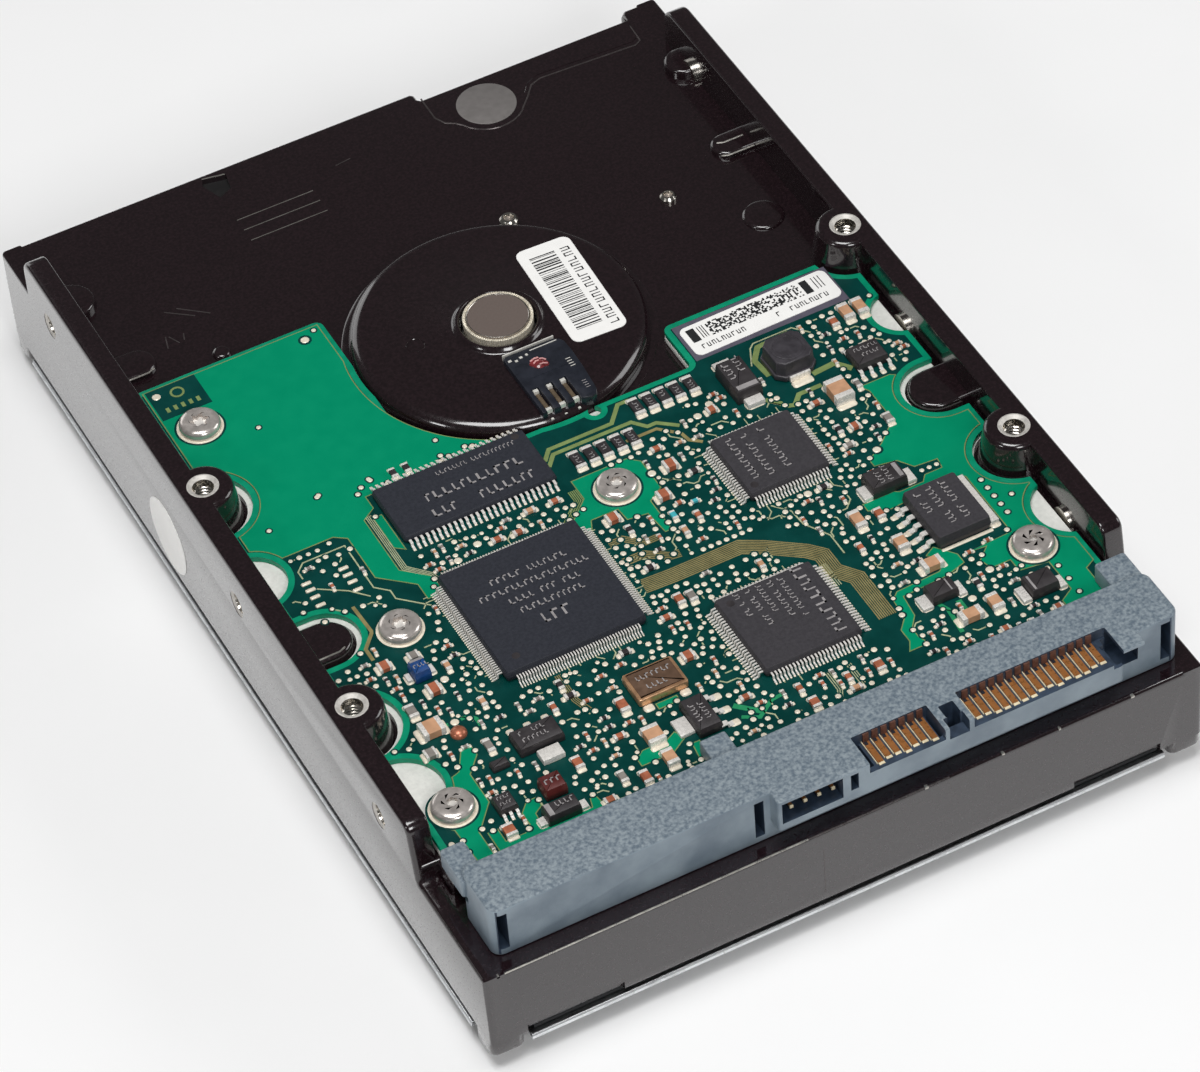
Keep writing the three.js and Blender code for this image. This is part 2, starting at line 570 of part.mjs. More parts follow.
add('actuator_latch', actuatorLatch(), PLASTIC_BLACK);
add('recirculation_filter', box(-41, -37.4, -31, -17, 3.2, 15.4), FILTER_WHITE);

export default drive;
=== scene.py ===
"""A 3.5-inch hard disk drive, board side up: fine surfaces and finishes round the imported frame.

Shapes are written in millimetres in the frame's own axes and turned to metres when made.
"""

import math
import random

import bpy
from mathutils import Matrix, Vector
from mathutils.geometry import tessellate_polygon


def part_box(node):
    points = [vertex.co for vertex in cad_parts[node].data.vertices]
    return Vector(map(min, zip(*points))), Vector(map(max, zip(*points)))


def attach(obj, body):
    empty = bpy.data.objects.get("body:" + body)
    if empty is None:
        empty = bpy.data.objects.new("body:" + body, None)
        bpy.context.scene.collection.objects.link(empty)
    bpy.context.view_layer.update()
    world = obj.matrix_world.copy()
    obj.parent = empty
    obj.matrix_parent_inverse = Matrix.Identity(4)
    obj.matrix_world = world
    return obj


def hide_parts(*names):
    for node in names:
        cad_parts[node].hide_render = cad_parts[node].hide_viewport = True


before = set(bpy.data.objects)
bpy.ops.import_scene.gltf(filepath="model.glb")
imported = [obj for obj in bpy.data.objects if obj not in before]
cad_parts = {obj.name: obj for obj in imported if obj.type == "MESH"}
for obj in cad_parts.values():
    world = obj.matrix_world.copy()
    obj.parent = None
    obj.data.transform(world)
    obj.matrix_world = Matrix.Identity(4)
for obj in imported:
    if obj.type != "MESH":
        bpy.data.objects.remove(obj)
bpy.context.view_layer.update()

MM = 0.001
QUARTER = math.pi / 2


def box_mm(node):
    """Lowest and highest corner of a CAD node, in millimetres."""
    low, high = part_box(node)
    return [c / MM for c in low], [c / MM for c in high]


# ---------------------------------------------------------------- shapes


def along_z(u, v, w):
    return (u, v, w)


def along_x(u, v, w):
    return (w, u, v)


class Shape:
    """Points and faces gathered in millimetres, made into one object by make()."""

    def __init__(self):
        self.points, self.faces, self.slots, self.flat = [], [], [], []

    def face(self, ids, slot, flat=False):
        self.faces.append(list(ids))
        self.slots.append(slot)
        self.flat.append(flat)

    def rings(self, rings, slot):
        """Joins loops of equal length side by side; returns the first index of each loop."""
        starts = []
        for ring in rings:
            starts.append(len(self.points))
            self.points.extend(ring)
        count = len(rings[0])
        for low, high in zip(starts, starts[1:]):
            for i in range(count):
                j = (i + 1) % count
                self.face([low + i, low + j, high + j, high + i], slot)
        return starts


def signed_area(loop):
    return sum(a[0] * b[1] - b[0] * a[1] for a, b in zip(loop, loop[1:] + loop[:1])) / 2


def inset(loop, distance):
    """The loop moved to its left by a distance, with mitred corners."""
    moved = []
    count = len(loop)
    for i in range(count):
        (x0, y0), (x1, y1), (x2, y2) = loop[i - 1], loop[i], loop[(i + 1) % count]
        a = math.atan2(y1 - y0, x1 - x0)
        b = math.atan2(y2 - y1, x2 - x1)
        nx = -math.sin(a) - math.sin(b)
        ny = math.cos(a) + math.cos(b)
        scale = distance / max(0.35, 1 + math.cos(a - b))
        moved.append((x1 + nx * scale, y1 + ny * scale))
    return moved


def prism(shape, loops, w0, w1, slot=0, low=0.0, high=0.0, steps=3, turn=along_z, taper=0.0):
    """A solid on an outline with holes, its edges rounded by radius low and high."""
    if not isinstance(loops[0], list):
        loops = [loops]
    loops = [
        list(loop) if (signed_area(loop) > 0) == (i == 0) else list(reversed(loop))
        for i, loop in enumerate(loops)
    ]
    turns = [k / steps * QUARTER for k in range(steps + 1)]
    levels = [(low * (1 - math.sin(a)), w0 + low * (1 - math.cos(a))) for a in (turns if low else turns[-1:])]
    levels += [
        (taper + high * (1 - math.sin(a)), w1 - high * (1 - math.cos(a)))
        for a in (reversed(turns) if high else turns[-1:])
    ]
    bottoms, tops = [], []
    for loop in loops:
        rings = [[turn(x, y, w) for x, y in inset(loop, d)] for d, w in levels]
        starts = shape.rings(rings, slot)
        bottoms.append(range(starts[0], starts[0] + len(loop)))
        tops.append(range(starts[-1], starts[-1] + len(loop)))
    for ids, depth, upward in ((bottoms, levels[0][0], False), (tops, levels[-1][0], True)):
        flat_ids = [i for group in ids for i in group]
        if len(loops) == 1:
            shape.face(flat_ids if upward else flat_ids[::-1], slot, True)
            continue
        outlines = [inset(loop, depth) for loop in loops]
        flat_points = [p for outline in outlines for p in outline]
        for tri in tessellate_polygon([[Vector((x, y, 0)) for x, y in o] for o in outlines]):
            turned = signed_area([flat_points[i] for i in tri]) > 0
            order = tri if turned == upward else tri[::-1]
            shape.face([flat_ids[i] for i in order], slot, True)


def arc(cx, cy, radius, start, end, steps=8):
    """Points on an arc; angles in degrees."""
    return [
        (cx + radius * math.cos(math.radians(a)), cy + radius * math.sin(math.radians(a)))
        for a in (start + (end - start) * k / steps for k in range(steps + 1))
    ]


def circle(cx, cy, radius, count=32):
    return arc(cx, cy, radius, 0, 360 * (count - 1) / count, count - 1)


def rectangle(x0, x1, y0, y1):
    return [(x0, y0), (x1, y0), (x1, y1), (x0, y1)]


def rounded(x0, x1, y0, y1, radius, steps=4):
    return (
        arc(x1 - radius, y0 + radius, radius, -90, 0, steps)
        + arc(x1 - radius, y1 - radius, radius, 0, 90, steps)
        + arc(x0 + radius, y1 - radius, radius, 90, 180, steps)
        + arc(x0 + radius, y0 + radius, radius, 180, 270, steps)
    )


def pill(x0, x1, y, radius, steps=12):
    """A bar lying along x with round ends."""
    return arc(x1, y, radius, -90, 90, steps) + arc(x0, y, radius, 90, 270, steps)


def around(x, y, width, depth):
    """The sides x0, x1, y0, y1 of a box about a centre."""
    return x - width / 2, x + width / 2, y - depth / 2, y + depth / 2


def turned(loop, cx, cy, degrees):
    """The loop turned about a point."""
    c, s = math.cos(math.radians(degrees)), math.sin(math.radians(degrees))
    return [(cx + (x - cx) * c - (y - cy) * s, cy + (x - cx) * s + (y - cy) * c) for x, y in loop]


def block(shape, x0, x1, y0, y1, z0, z1, slot=0, edge=0.0, steps=1):
    """A box with its upper edges rounded or chamfered."""
    prism(shape, rectangle(x0, x1, y0, y1), z0, z1, slot, high=edge, steps=steps)


def lathe(shape, centre, profile, slots=0, segments=48, turn=along_z, closed=False):
    """A profile of (radius, height) points turned round the axis through centre.

    An open profile starts and ends on the axis; slots may give one material for each stretch.
    """
    cx, cy = centre
    spin = [2 * math.pi * k / segments for k in range(segments)]
    rows = []
    for radius, w in profile:
        first = len(shape.points)
        if radius < 1e-6:
            shape.points.append(turn(cx, cy, w))
            rows.append([first] * segments)
            continue
        shape.points.extend(turn(cx + radius * math.cos(a), cy + radius * math.sin(a), w) for a in spin)
        rows.append(list(range(first, first + segments)))
    stretches = list(zip(rows, rows[1:]))
    if closed:
        stretches.append((rows[-1], rows[0]))
    for n, (low, high) in enumerate(stretches):
        slot = slots if isinstance(slots, int) else slots[n]
        for i in range(segments):
            j = (i + 1) % segments
            ids = []
            for k in (low[i], low[j], high[j], high[i]):
                if k not in ids:
                    ids.append(k)
            if len(ids) > 2:
                shape.face(ids, slot)


def above(base, profile):
    """A profile whose heights are given from a base height."""
    return [(radius, base + rise) for radius, rise in profile]


def path_sides(path, half):
    """Points at half a width to the left and to the right of an open line."""
    left, right = [], []
    for i, (x, y) in enumerate(path):
        x0, y0 = path[max(i - 1, 0)]
        x2, y2 = path[min(i + 1, len(path) - 1)]
        a = math.atan2(y - y0, x - x0) if i else math.atan2(y2 - y, x2 - x)
        b = math.atan2(y2 - y, x2 - x) if i < len(path) - 1 else a
        scale = half / max(0.4, 1 + math.cos(a - b))
        nx = -(math.sin(a) + math.sin(b)) * scale
        ny = (math.cos(a) + math.cos(b)) * scale
        left.append((x + nx, y + ny))
        right.append((x - nx, y - ny))
    return left, right


def strip(shape, path, width, z0, z1, slot=0):
    """A flat band along an open line, as a closed solid."""
    left, right = path_sides(path, width / 2)
    count = len(path)
    base = len(shape.points)
    for points, z in ((left, z0), (right, z0), (left, z1), (right, z1)):
        shape.points.extend((x, y, z) for x, y in points)
    a, b, c, d = (base + count * k for k in range(4))
    for i in range(count - 1):
        shape.face([c + i, d + i, d + i + 1, c + i + 1], slot, True)
        shape.face([a + i, a + i + 1, b + i + 1, b + i], slot, True)
        shape.face([a + i, c + i, c + i + 1, a + i + 1], slot, True)
        shape.face([b + i, b + i + 1, d + i + 1, d + i], slot, True)
    shape.face([a, b, d, c], slot, True)
    e = count - 1
    shape.face([a + e, c + e, d + e, b + e], slot, True)


def tube(shape, path, radius, slot=0, sides=8):
    """A round bar through points in space, with closed ends."""
    points = [Vector(p) for p in path]
    rings = []
    side = None
    for i, p in enumerate(points):
        ahead = points[min(i + 1, len(points) - 1)] - points[max(i - 1, 0)]
        ahead.normalize()
        if side is None:
            side = ahead.orthogonal().normalized()
        side = (side - ahead * side.dot(ahead)).normalized()
        other = ahead.cross(side)
        rings.append([
            tuple(p + (side * math.cos(a) + other * math.sin(a)) * radius)
            for a in (2 * math.pi * k / sides for k in range(sides))
        ])
    starts = shape.rings(rings, slot)
    shape.face(list(range(starts[0], starts[0] + sides))[::-1], slot, True)
    shape.face(range(starts[-1], starts[-1] + sides), slot, True)


def mesh_object(name, shape, materials):
    mesh = bpy.data.meshes.new(name)
    mesh.from_pydata([tuple(c * MM for c in p) for p in shape.points], [], shape.faces)
    for material in materials:
        mesh.materials.append(material)
    mesh.polygons.foreach_set("material_index", shape.slots)
    mesh.polygons.foreach_set("use_smooth", [not f for f in shape.flat])
    mesh.update()
    obj = bpy.data.objects.new(name, mesh)
    bpy.context.scene.collection.objects.link(obj)
    return obj


def solid(fill, *args, material=None, **kwargs):
    """A closed solid made by one of the fill functions, to be joined or cut with combine()."""
    shape = Shape()
    fill(shape, *args, **kwargs)
    return mesh_object("part", shape, [material or BLACK_COAT])


def combine(obj, others, operation):
    """Joins closed solids to obj, or cuts them out of it, and removes them."""
    if not others:
        return obj
    group = bpy.data.collections.new("operands")
    bpy.context.scene.collection.children.link(group)
    for other in others:
        group.objects.link(other)
        bpy.context.scene.collection.objects.unlink(other)
    step = obj.modifiers.new("solids", "BOOLEAN")
    step.operation = operation
    step.solver = "EXACT"
    step.operand_type = "COLLECTION"
    step.collection = group
    evaluated = obj.evaluated_get(bpy.context.evaluated_depsgraph_get())
    mesh = bpy.data.meshes.new_from_object(evaluated)
    obj.modifiers.clear()
    old = obj.data
    obj.data = mesh
    bpy.data.meshes.remove(old)
    for other in others:
        bpy.data.objects.remove(other)
    bpy.data.collections.remove(group)
    return obj


def finish_piece(obj, replaces=(), sharp=34):
    """Marks hard edges, then puts the piece on the chassis and hides the frame parts that it replaces."""
    obj.data.set_sharp_from_angle(angle=math.radians(sharp))
    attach(obj, "chassis")
    if replaces:
        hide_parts(*replaces)
    return obj


def make(name, shape, materials, replaces=(), sharp=34):
    return finish_piece(mesh_object(name, shape, materials), replaces, sharp)


def soften(obj):
    """A fine bevel on the piece's hard edges."""
    bevel = obj.modifiers.new("edges", "BEVEL")
    bevel.width = 0.08 * MM
    bevel.segments = 2
    bevel.limit_method = "ANGLE"
    bevel.angle_limit = math.radians(50)


# ---------------------------------------------------------------- finishes


def shade(colour, factor):
    return tuple(min(1.0, c * factor) for c in colour)


def srgb(r, g, b):
    """A colour given as 0 to 255 values, as the linear value that a shader takes."""
    return tuple(((c / 255 + 0.055) / 1.055) ** 2.4 if c > 10 else c / 255 / 12.92 for c in (r, g, b))


def finish(name, colour, roughness, metallic=0.0, coat=0.0, ior=1.5, spread=0.12, scale=900.0,
           grain=0.0, grain_scale=4000.0, rough_spread=0.06, other=None, stretch=None, coat_rough=0.03,
           specular=0.5):
    """A surface whose colour and gloss wander a little, with a fine grain in its relief."""
    material = bpy.data.materials.new(name)
    material.use_nodes = True
    nodes, links = material.node_tree.nodes, material.node_tree.links
    surface = nodes["Principled BSDF"]
    surface.inputs["Metallic"].default_value = metallic
    surface.inputs["IOR"].default_value = ior
    surface.inputs["Coat Weight"].default_value = coat
    surface.inputs["Coat Roughness"].default_value = coat_rough
    surface.inputs["Coat IOR"].default_value = ior
    surface.inputs["Specular IOR Level"].default_value = specular
    where = nodes.new("ShaderNodeTexCoord")
    noise = nodes.new("ShaderNodeTexNoise")
    noise.inputs["Scale"].default_value = scale
    noise.inputs["Detail"].default_value = 5.0
    if stretch:
        mapping = nodes.new("ShaderNodeMapping")
        mapping.inputs["Scale"].default_value = stretch
        links.new(where.outputs["Object"], mapping.inputs["Vector"])
        links.new(mapping.outputs["Vector"], noise.inputs["Vector"])
    else:
        links.new(where.outputs["Object"], noise.inputs["Vector"])
    ramp = nodes.new("ShaderNodeValToRGB")
    ramp.color_ramp.elements[0].position = 0.35
    ramp.color_ramp.elements[1].position = 0.65
    ramp.color_ramp.elements[0].color = (*shade(colour, 1 - spread), 1)
    ramp.color_ramp.elements[1].color = (*(other or shade(colour, 1 + spread)), 1)
    links.new(noise.outputs["Fac"], ramp.inputs["Fac"])
    links.new(ramp.outputs["Color"], surface.inputs["Base Color"])
    gloss = nodes.new("ShaderNodeMapRange")
    gloss.inputs["From Min"].default_value = 0.3
    gloss.inputs["From Max"].default_value = 0.7
    gloss.inputs["To Min"].default_value = max(0.02, roughness - rough_spread)
    gloss.inputs["To Max"].default_value = min(1.0, roughness + rough_spread)
    links.new(noise.outputs["Fac"], gloss.inputs["Value"])
    links.new(gloss.outputs["Result"], surface.inputs["Roughness"])
    if grain:
        fine = nodes.new("ShaderNodeTexNoise")
        fine.inputs["Scale"].default_value = grain_scale
        fine.inputs["Detail"].default_value = 3.0
        links.new(where.outputs["Object"], fine.inputs["Vector"])
        bump = nodes.new("ShaderNodeBump")
        bump.inputs["Strength"].default_value = grain
        bump.inputs["Distance"].default_value = 0.05 * MM
        links.new(fine.outputs["Fac"], bump.inputs["Height"])
        links.new(bump.outputs["Normal"], surface.inputs["Normal"])
    return material


BLACK_COAT = finish("black_coat", srgb(27, 15, 19), 0.24, coat=1.0, ior=1.6, spread=0.3, scale=2500,
                    grain=0.12, grain_scale=2500, coat_rough=0.09, specular=0.2)
# Painted highlights on the ledge's and pads' edges, and bright lines on the casting's floor.
BRIGHT_LINES_AND_HIGHLIGHTS = finish("bright_lines_and_painted_highlights", srgb(175, 172, 165), 0.3, metallic=0.8)
THREAD_RING = finish("thread_ring", srgb(206, 202, 196), 0.5, metallic=0.35, spread=0.12, scale=2500, grain=0.2)
KNURL_BRIGHT = finish("knurl_bright", srgb(232, 224, 206), 0.35, metallic=0.4, spread=0.15, scale=2500)
BRIGHT_STEEL = finish("bright_steel", srgb(205, 200, 192), 0.22, metallic=1.0, spread=0.08)
SATIN_STEEL = finish("satin_steel", srgb(176, 166, 158), 0.38, metallic=0.75, spread=0.1, grain=0.15)
COVER_STEEL = finish("cover_steel", srgb(168, 170, 172), 0.3, metallic=1.0, spread=0.05, stretch=(1, 12, 1))
GROUND_STEEL = finish("ground_steel", srgb(190, 190, 188), 0.2, metallic=1.0, spread=0.03, rough_spread=0.01)
LAMINATED = finish("laminated_steel", srgb(120, 122, 126), 0.4, metallic=0.9, spread=0.06, rough_spread=0.02,
                   stretch=(1, 1, 20))
SPRING_STEEL = finish("spring_steel", srgb(196, 194, 186), 0.25, metallic=1.0, spread=0.04, rough_spread=0.01)
ALUMINIUM = finish("machined_aluminium", srgb(196, 198, 200), 0.32, metallic=1.0, spread=0.04, rough_spread=0.015,
                   stretch=(1, 1, 8))
MIRROR = finish("polished_platter", srgb(222, 224, 226), 0.04, metallic=1.0, spread=0.01, rough_spread=0.01)
NICKEL = finish("magnet_nickel", srgb(170, 170, 168), 0.32, metallic=1.0, spread=0.04, rough_spread=0.015)
COPPER_WIRE = finish("enamelled_copper", srgb(170, 92, 50), 0.3, metallic=0.9, spread=0.3, stretch=(1, 1, 30))
RUBBER = finish("seal_rubber", srgb(34, 36, 38), 0.75)
AMBER = finish("amber_film", srgb(190, 120, 45), 0.35)
FLEECE = finish("filter_fleece", srgb(236, 235, 228), 0.95, grain=0.6)
SHADOW_BLACK = finish("shadow_black", srgb(12, 10, 11), 0.6)
BLACK_PLASTIC = finish("black_plastic", srgb(38, 42, 46), 0.42, spread=0.2, grain=0.2)
# Grey lines and a seam on the casting, and fainter painted highlights on the ledge's edges.
GREY_LINES_AND_FAINT_HIGHLIGHTS = finish("grey_lines_and_faint_painted_highlights", srgb(90, 84, 84), 0.3, metallic=0.6)
CAP_GREY = finish("cap_grey", srgb(108, 96, 90), 0.55, metallic=0.15, spread=0.06, scale=5000, grain=0.2)
# Near-white painted highlight for the cover's hem.
HEM_HIGHLIGHT = finish("hem_painted_highlight", srgb(236, 238, 240), 0.28, metallic=0.25, spread=0.1, scale=400)
# Near-white painted highlight for the floor of the screws' recesses.
RECESS_HIGHLIGHT = finish("recess_floor_painted_highlight", srgb(244, 240, 234), 0.3, metallic=0.2, spread=0.1)
HEAD_PLATE = finish("head_plating", srgb(214, 206, 200), 0.22, metallic=0.6, spread=0.15, scale=900)
FOIL_GREY = finish("foil_grey", srgb(128, 124, 122), 0.4, metallic=0.3, spread=0.05)

# ---------------------------------------------------------------- floor, lights, camera

AZIMUTH, ELEVATION, ROLL = (math.radians(a) for a in (-23.976, 45.977, -5.019))
TARGET = Vector((0.002669, 0.000763, 0.000029))
DISTANCE = 0.7398
LENS, SENSOR = 165.64, 36.0

scene = bpy.context.scene
scene.view_settings.view_transform = "Standard"

FLOOR_HALF = 3.0              # metres
FLOOR_Z = -0.05 * MM
floor_mesh = bpy.data.meshes.new("floor")
floor_mesh.from_pydata(
    [(x * FLOOR_HALF, y * FLOOR_HALF, FLOOR_Z) for x, y in ((-1, -1), (1, -1), (1, 1), (-1, 1))],
    [], [(0, 1, 2, 3)])
floor_mesh.materials.append(finish("floor_white", (0.98, 0.98, 0.98), 0.9, spread=0.01, scale=20))
floor = bpy.data.objects.new("floor", floor_mesh)
scene.collection.objects.link(floor)


def softbox(name, direction, distance, size, power):
    """A square light facing the drive from a direction."""
    light = bpy.data.lights.new(name, "AREA")
    light.shape = "SQUARE"
    light.size = size
    light.energy = power
    obj = bpy.data.objects.new(name, light)
    back = Vector(direction).normalized()
    obj.location = back * distance
    obj.rotation_mode = "QUATERNION"
    obj.rotation_quaternion = (-back).to_track_quat("-Z", "Y")
    scene.collection.objects.link(obj)


softbox("light_top", (-0.15, -0.1, 1.0), 1.0, 0.45, 6.0)
softbox("light_left", (-0.9, -0.25, 0.5), 1.0, 0.16, 0.9)
softbox("light_front", (-0.1, -1.0, 0.75), 1.1, 0.3, 3.2)
softbox("light_right", (1.0, -0.2, 0.6), 1.0, 0.45, 2.1)
softbox("light_behind", (-0.2, 1.0, 0.3), 1.2, 0.6, 1.6)

world = bpy.data.worlds.new("studio")
world.use_nodes = True
world.node_tree.nodes["Background"].inputs["Color"].default_value = (1, 1, 1, 1)
world.node_tree.nodes["Background"].inputs["Strength"].default_value = 0.08
scene.world = world


def make_camera():
    back = Vector((
        math.sin(AZIMUTH) * math.cos(ELEVATION),
        -math.cos(AZIMUTH) * math.cos(ELEVATION),
        math.sin(ELEVATION),
    ))
    right = Vector((math.cos(AZIMUTH), math.sin(AZIMUTH), 0))
    up = back.cross(right)
    side = right * math.cos(ROLL) + up * math.sin(ROLL)
    top = up * math.cos(ROLL) - right * math.sin(ROLL)
    data = bpy.data.cameras.new("camera")
    data.lens = LENS
    data.sensor_fit = "HORIZONTAL"
    data.sensor_width = SENSOR
    data.clip_start, data.clip_end = 0.05, 20
    camera = bpy.data.objects.new("camera", data)
    pose = Matrix((side, top, back)).transposed().to_4x4()
    camera.matrix_world = Matrix.Translation(TARGET + back * DISTANCE) @ pose
    scene.collection.objects.link(camera)
    scene.camera = camera


make_camera()

# ---------------------------------------------------------------- casting

CASE_LOW, CASE_HIGH = box_mm("base_casting")
BOARD_LOW, BOARD_HIGH = box_mm("circuit_board")
HALF_W, HALF_L, RAIL_TOP = CASE_HIGH[0], CASE_HIGH[1], CASE_HIGH[2]
FOOT_Z = CASE_LOW[2]
BOARD_TOP = BOARD_HIGH[2]
RIM_Z = box_mm("cover_gasket")[1][2] + 0.1
CAP_LOW, CAP_HIGH = box_mm("bearing_cap")
SPINDLE = ((CAP_LOW[0] + CAP_HIGH[0]) / 2, (CAP_LOW[1] + CAP_HIGH[1]) / 2)
SHAFT_LOW, SHAFT_HIGH = box_mm("pivot_shaft")
PIVOT = ((SHAFT_LOW[0] + SHAFT_HIGH[0]) / 2, (SHAFT_LOW[1] + SHAFT_HIGH[1]) / 2)
LEDGE_Z = box_mm("connector_housing")[0][2] - 0.1
PLATE_Z = box_mm("foam_pad")[0][2] - 0.1      # outer face of the casting's floor
LEDGE_Y = -59.5
RAIL_END_Y = -55.4                            # where the rails come down to the ledge
CAVITY_TOP = 16.4
RAIL_INNER = 47.7
STEP_X0, STEP_X1, STEP_Y = 12.3, 45.0, 71.6
DISC_R, DISC_TOP = 19.4, 22.6
BOSS_X, BOSS_Y = 47.625, (41.28 - HALF_L, 41.28 + 44.45 - HALF_L)
SIDE_Y = [y - HALF_L for y in (28.5, 28.5 + 41.6, 28.5 + 101.6)]
SIDE_Z = RAIL_TOP - 6.35
EMBED_X = 50.1                                # how far the inner solids reach into the side walls


def centre_of(node):
    low, high = box_mm(node)
    return ((low[0] + high[0]) / 2, (low[1] + high[1]) / 2)


BOARD_SCREWS = [centre_of(f"board_screw_{n}") for n in range(1, 6)]
COVER_SCREWS = [centre_of(f"cover_screw_{n}") for n in range(1, 7)]


def side_wall(shape, side):
    outline = (
        [(-HALF_L, RIM_Z), (HALF_L, RIM_Z), (HALF_L, PLATE_Z), (64.6, PLATE_Z)]
        + arc(62.2, RAIL_TOP - 2.4, 2.4, 0, 90, 6)
        + arc(-52.6, RAIL_TOP - 1.6, 1.6, 90, 170, 5)
        + [(RAIL_END_Y + 0.1, LEDGE_Z + 0.5), (RAIL_END_Y - 0.3, LEDGE_Z), (-HALF_L, LEDGE_Z)]
    )
    if side > 0:
        prism(shape, outline, RAIL_INNER, HALF_W, low=0.35, high=0.6, steps=4, turn=along_x)
    else:
        prism(shape, outline, -HALF_W, -RAIL_INNER, low=0.6, high=0.35, steps=4, turn=along_x)


def casting_body(shape):
    outline = [
        (-RAIL_INNER, LEDGE_Y), (RAIL_INNER, LEDGE_Y), (RAIL_INNER, RAIL_END_Y), (EMBED_X, RAIL_END_Y),
        (EMBED_X, HALF_L - 0.7), (49.4, HALF_L), (STEP_X1 + 0.8, HALF_L), (STEP_X1, HALF_L - 0.8),
        (STEP_X1, STEP_Y), (STEP_X0 + 0.4, STEP_Y), (STEP_X0, STEP_Y + 0.4),
        (STEP_X0, HALF_L - 0.5), (STEP_X0 - 0.5, HALF_L), (-49.4, HALF_L), (-EMBED_X, HALF_L - 0.7),
        (-EMBED_X, RAIL_END_Y), (-RAIL_INNER, RAIL_END_Y),
    ]
    prism(shape, outline, RIM_Z, PLATE_Z, low=0.3, high=0.6, steps=4)


def ledge_body(shape):
    outline = [
        (-EMBED_X, -72.8), (-49.4, -HALF_L), (49.4, -HALF_L), (EMBED_X, -72.8),
        (EMBED_X, LEDGE_Y + 1), (-EMBED_X, LEDGE_Y + 1),
    ]
    prism(shape, outline, RIM_Z, LEDGE_Z, low=0.3, high=0.55, steps=4)


def clipped(loop):
    return [(max(-EMBED_X, min(EMBED_X, x)), y) for x, y in loop]


def boss(shape, side, y):
    """A mounting boss: a tapering round post with a rounded shoulder, cut off inside the wall."""
    levels = [(4.95, PLATE_Z - 0.8), (4.9, PLATE_Z)]
    levels += [(4.9 - 0.85 * t, PLATE_Z + (RAIL_TOP - 0.8 - PLATE_Z) * t) for t in (0.33, 0.67, 1.0)]
    levels += [(3.25 + 0.8 * math.cos(a), RAIL_TOP - 0.8 + 0.8 * math.sin(a)) for a in (0.4, 0.8, 1.2, QUARTER)]
    sides = 56
    rings = [[(x, v, z) for x, v in clipped(circle(side * BOSS_X, y, r, sides))] for r, z in levels]
    starts = shape.rings(rings, 0)
    shape.face(list(range(starts[0], starts[0] + sides))[::-1], 0, True)
    shape.face(range(starts[-1], starts[-1] + sides), 0, True)


def spindle_disc(shape):
    """The round raised plate over the motor: rolled edge, a fine lip and the collar of the bearing."""
    roll = arc(18.4, DISC_TOP - 1.8, 1.8, 8, 90, 9)
    lip = above(PLATE_Z, [(0, -1), (21.3, -1), (21.3, 0.06), (21.15, 0.14), (20.3, 0.14)])
    collar = above(DISC_TOP, [
        (6.4, 0), (6.15, 0.1), (5.95, 0.4), (5.75, 0.6), (5.45, 0.62), (5.25, 0.45), (5.1, -0.2), (5.05, -0.6),
        (0, -0.6)])
    lathe(shape, SPINDLE, lip + roll + collar, segments=112)


PIT_OUTLINE = [(-21.3, 71.2), (-20.1, 67.9), (-18.0, 68.9), (-17.5, 71.8), (-20.8, 72.5)]
FLEX_PASSAGE = (0.6, 16.4, -31.6, -26.4)      # where the flex cable's block goes through the floor


def casting_pad(shape, loop, top, edge=0.5):
    prism(shape, loop, PLATE_Z - 0.8, top, high=edge, steps=4, taper=0.25)


def foot(shape, sx, sy):
    size = 4.8
    x0, x1 = sorted((sx * HALF_W, sx * (HALF_W - size)))
    y0, y1 = sorted((sy * HALF_L, sy * (HALF_L - size)))
    prism(shape, rounded(x0, x1, y0, y1, 1.1), FOOT_Z, RIM_Z + 1.5, low=0.5)


def cavity_cutter(shape):
    lathe(shape, SPINDLE, [(0, 0), (48.1, 0), (48.1, CAVITY_TOP), (0, CAVITY_TOP)], segments=128)


def bay_cutter(shape):
    """The actuator's bay, leaving the two front screw posts."""
    outline = (
        [(-43.5, 6), (-43.5, -63.9)]
        + [(-43.2, -63.7), (-39.4, -64.3), (-37.8, -66.0), (-37.6, -70.3)]
        + [(37.6, -70.3), (37.8, -66.0), (39.4, -64.3), (43.2, -63.7)]
        + [(43.5, -63.9), (43.5, 6)]
    )
    prism(shape, outline, 0.1, CAVITY_TOP - 0.05)


def hole(shape, x, y, radius, z0, z1, segments=36):
    lathe(shape, (x, y), [(0, z0), (radius, z0), (radius, z1), (0, z1)], segments=segments)


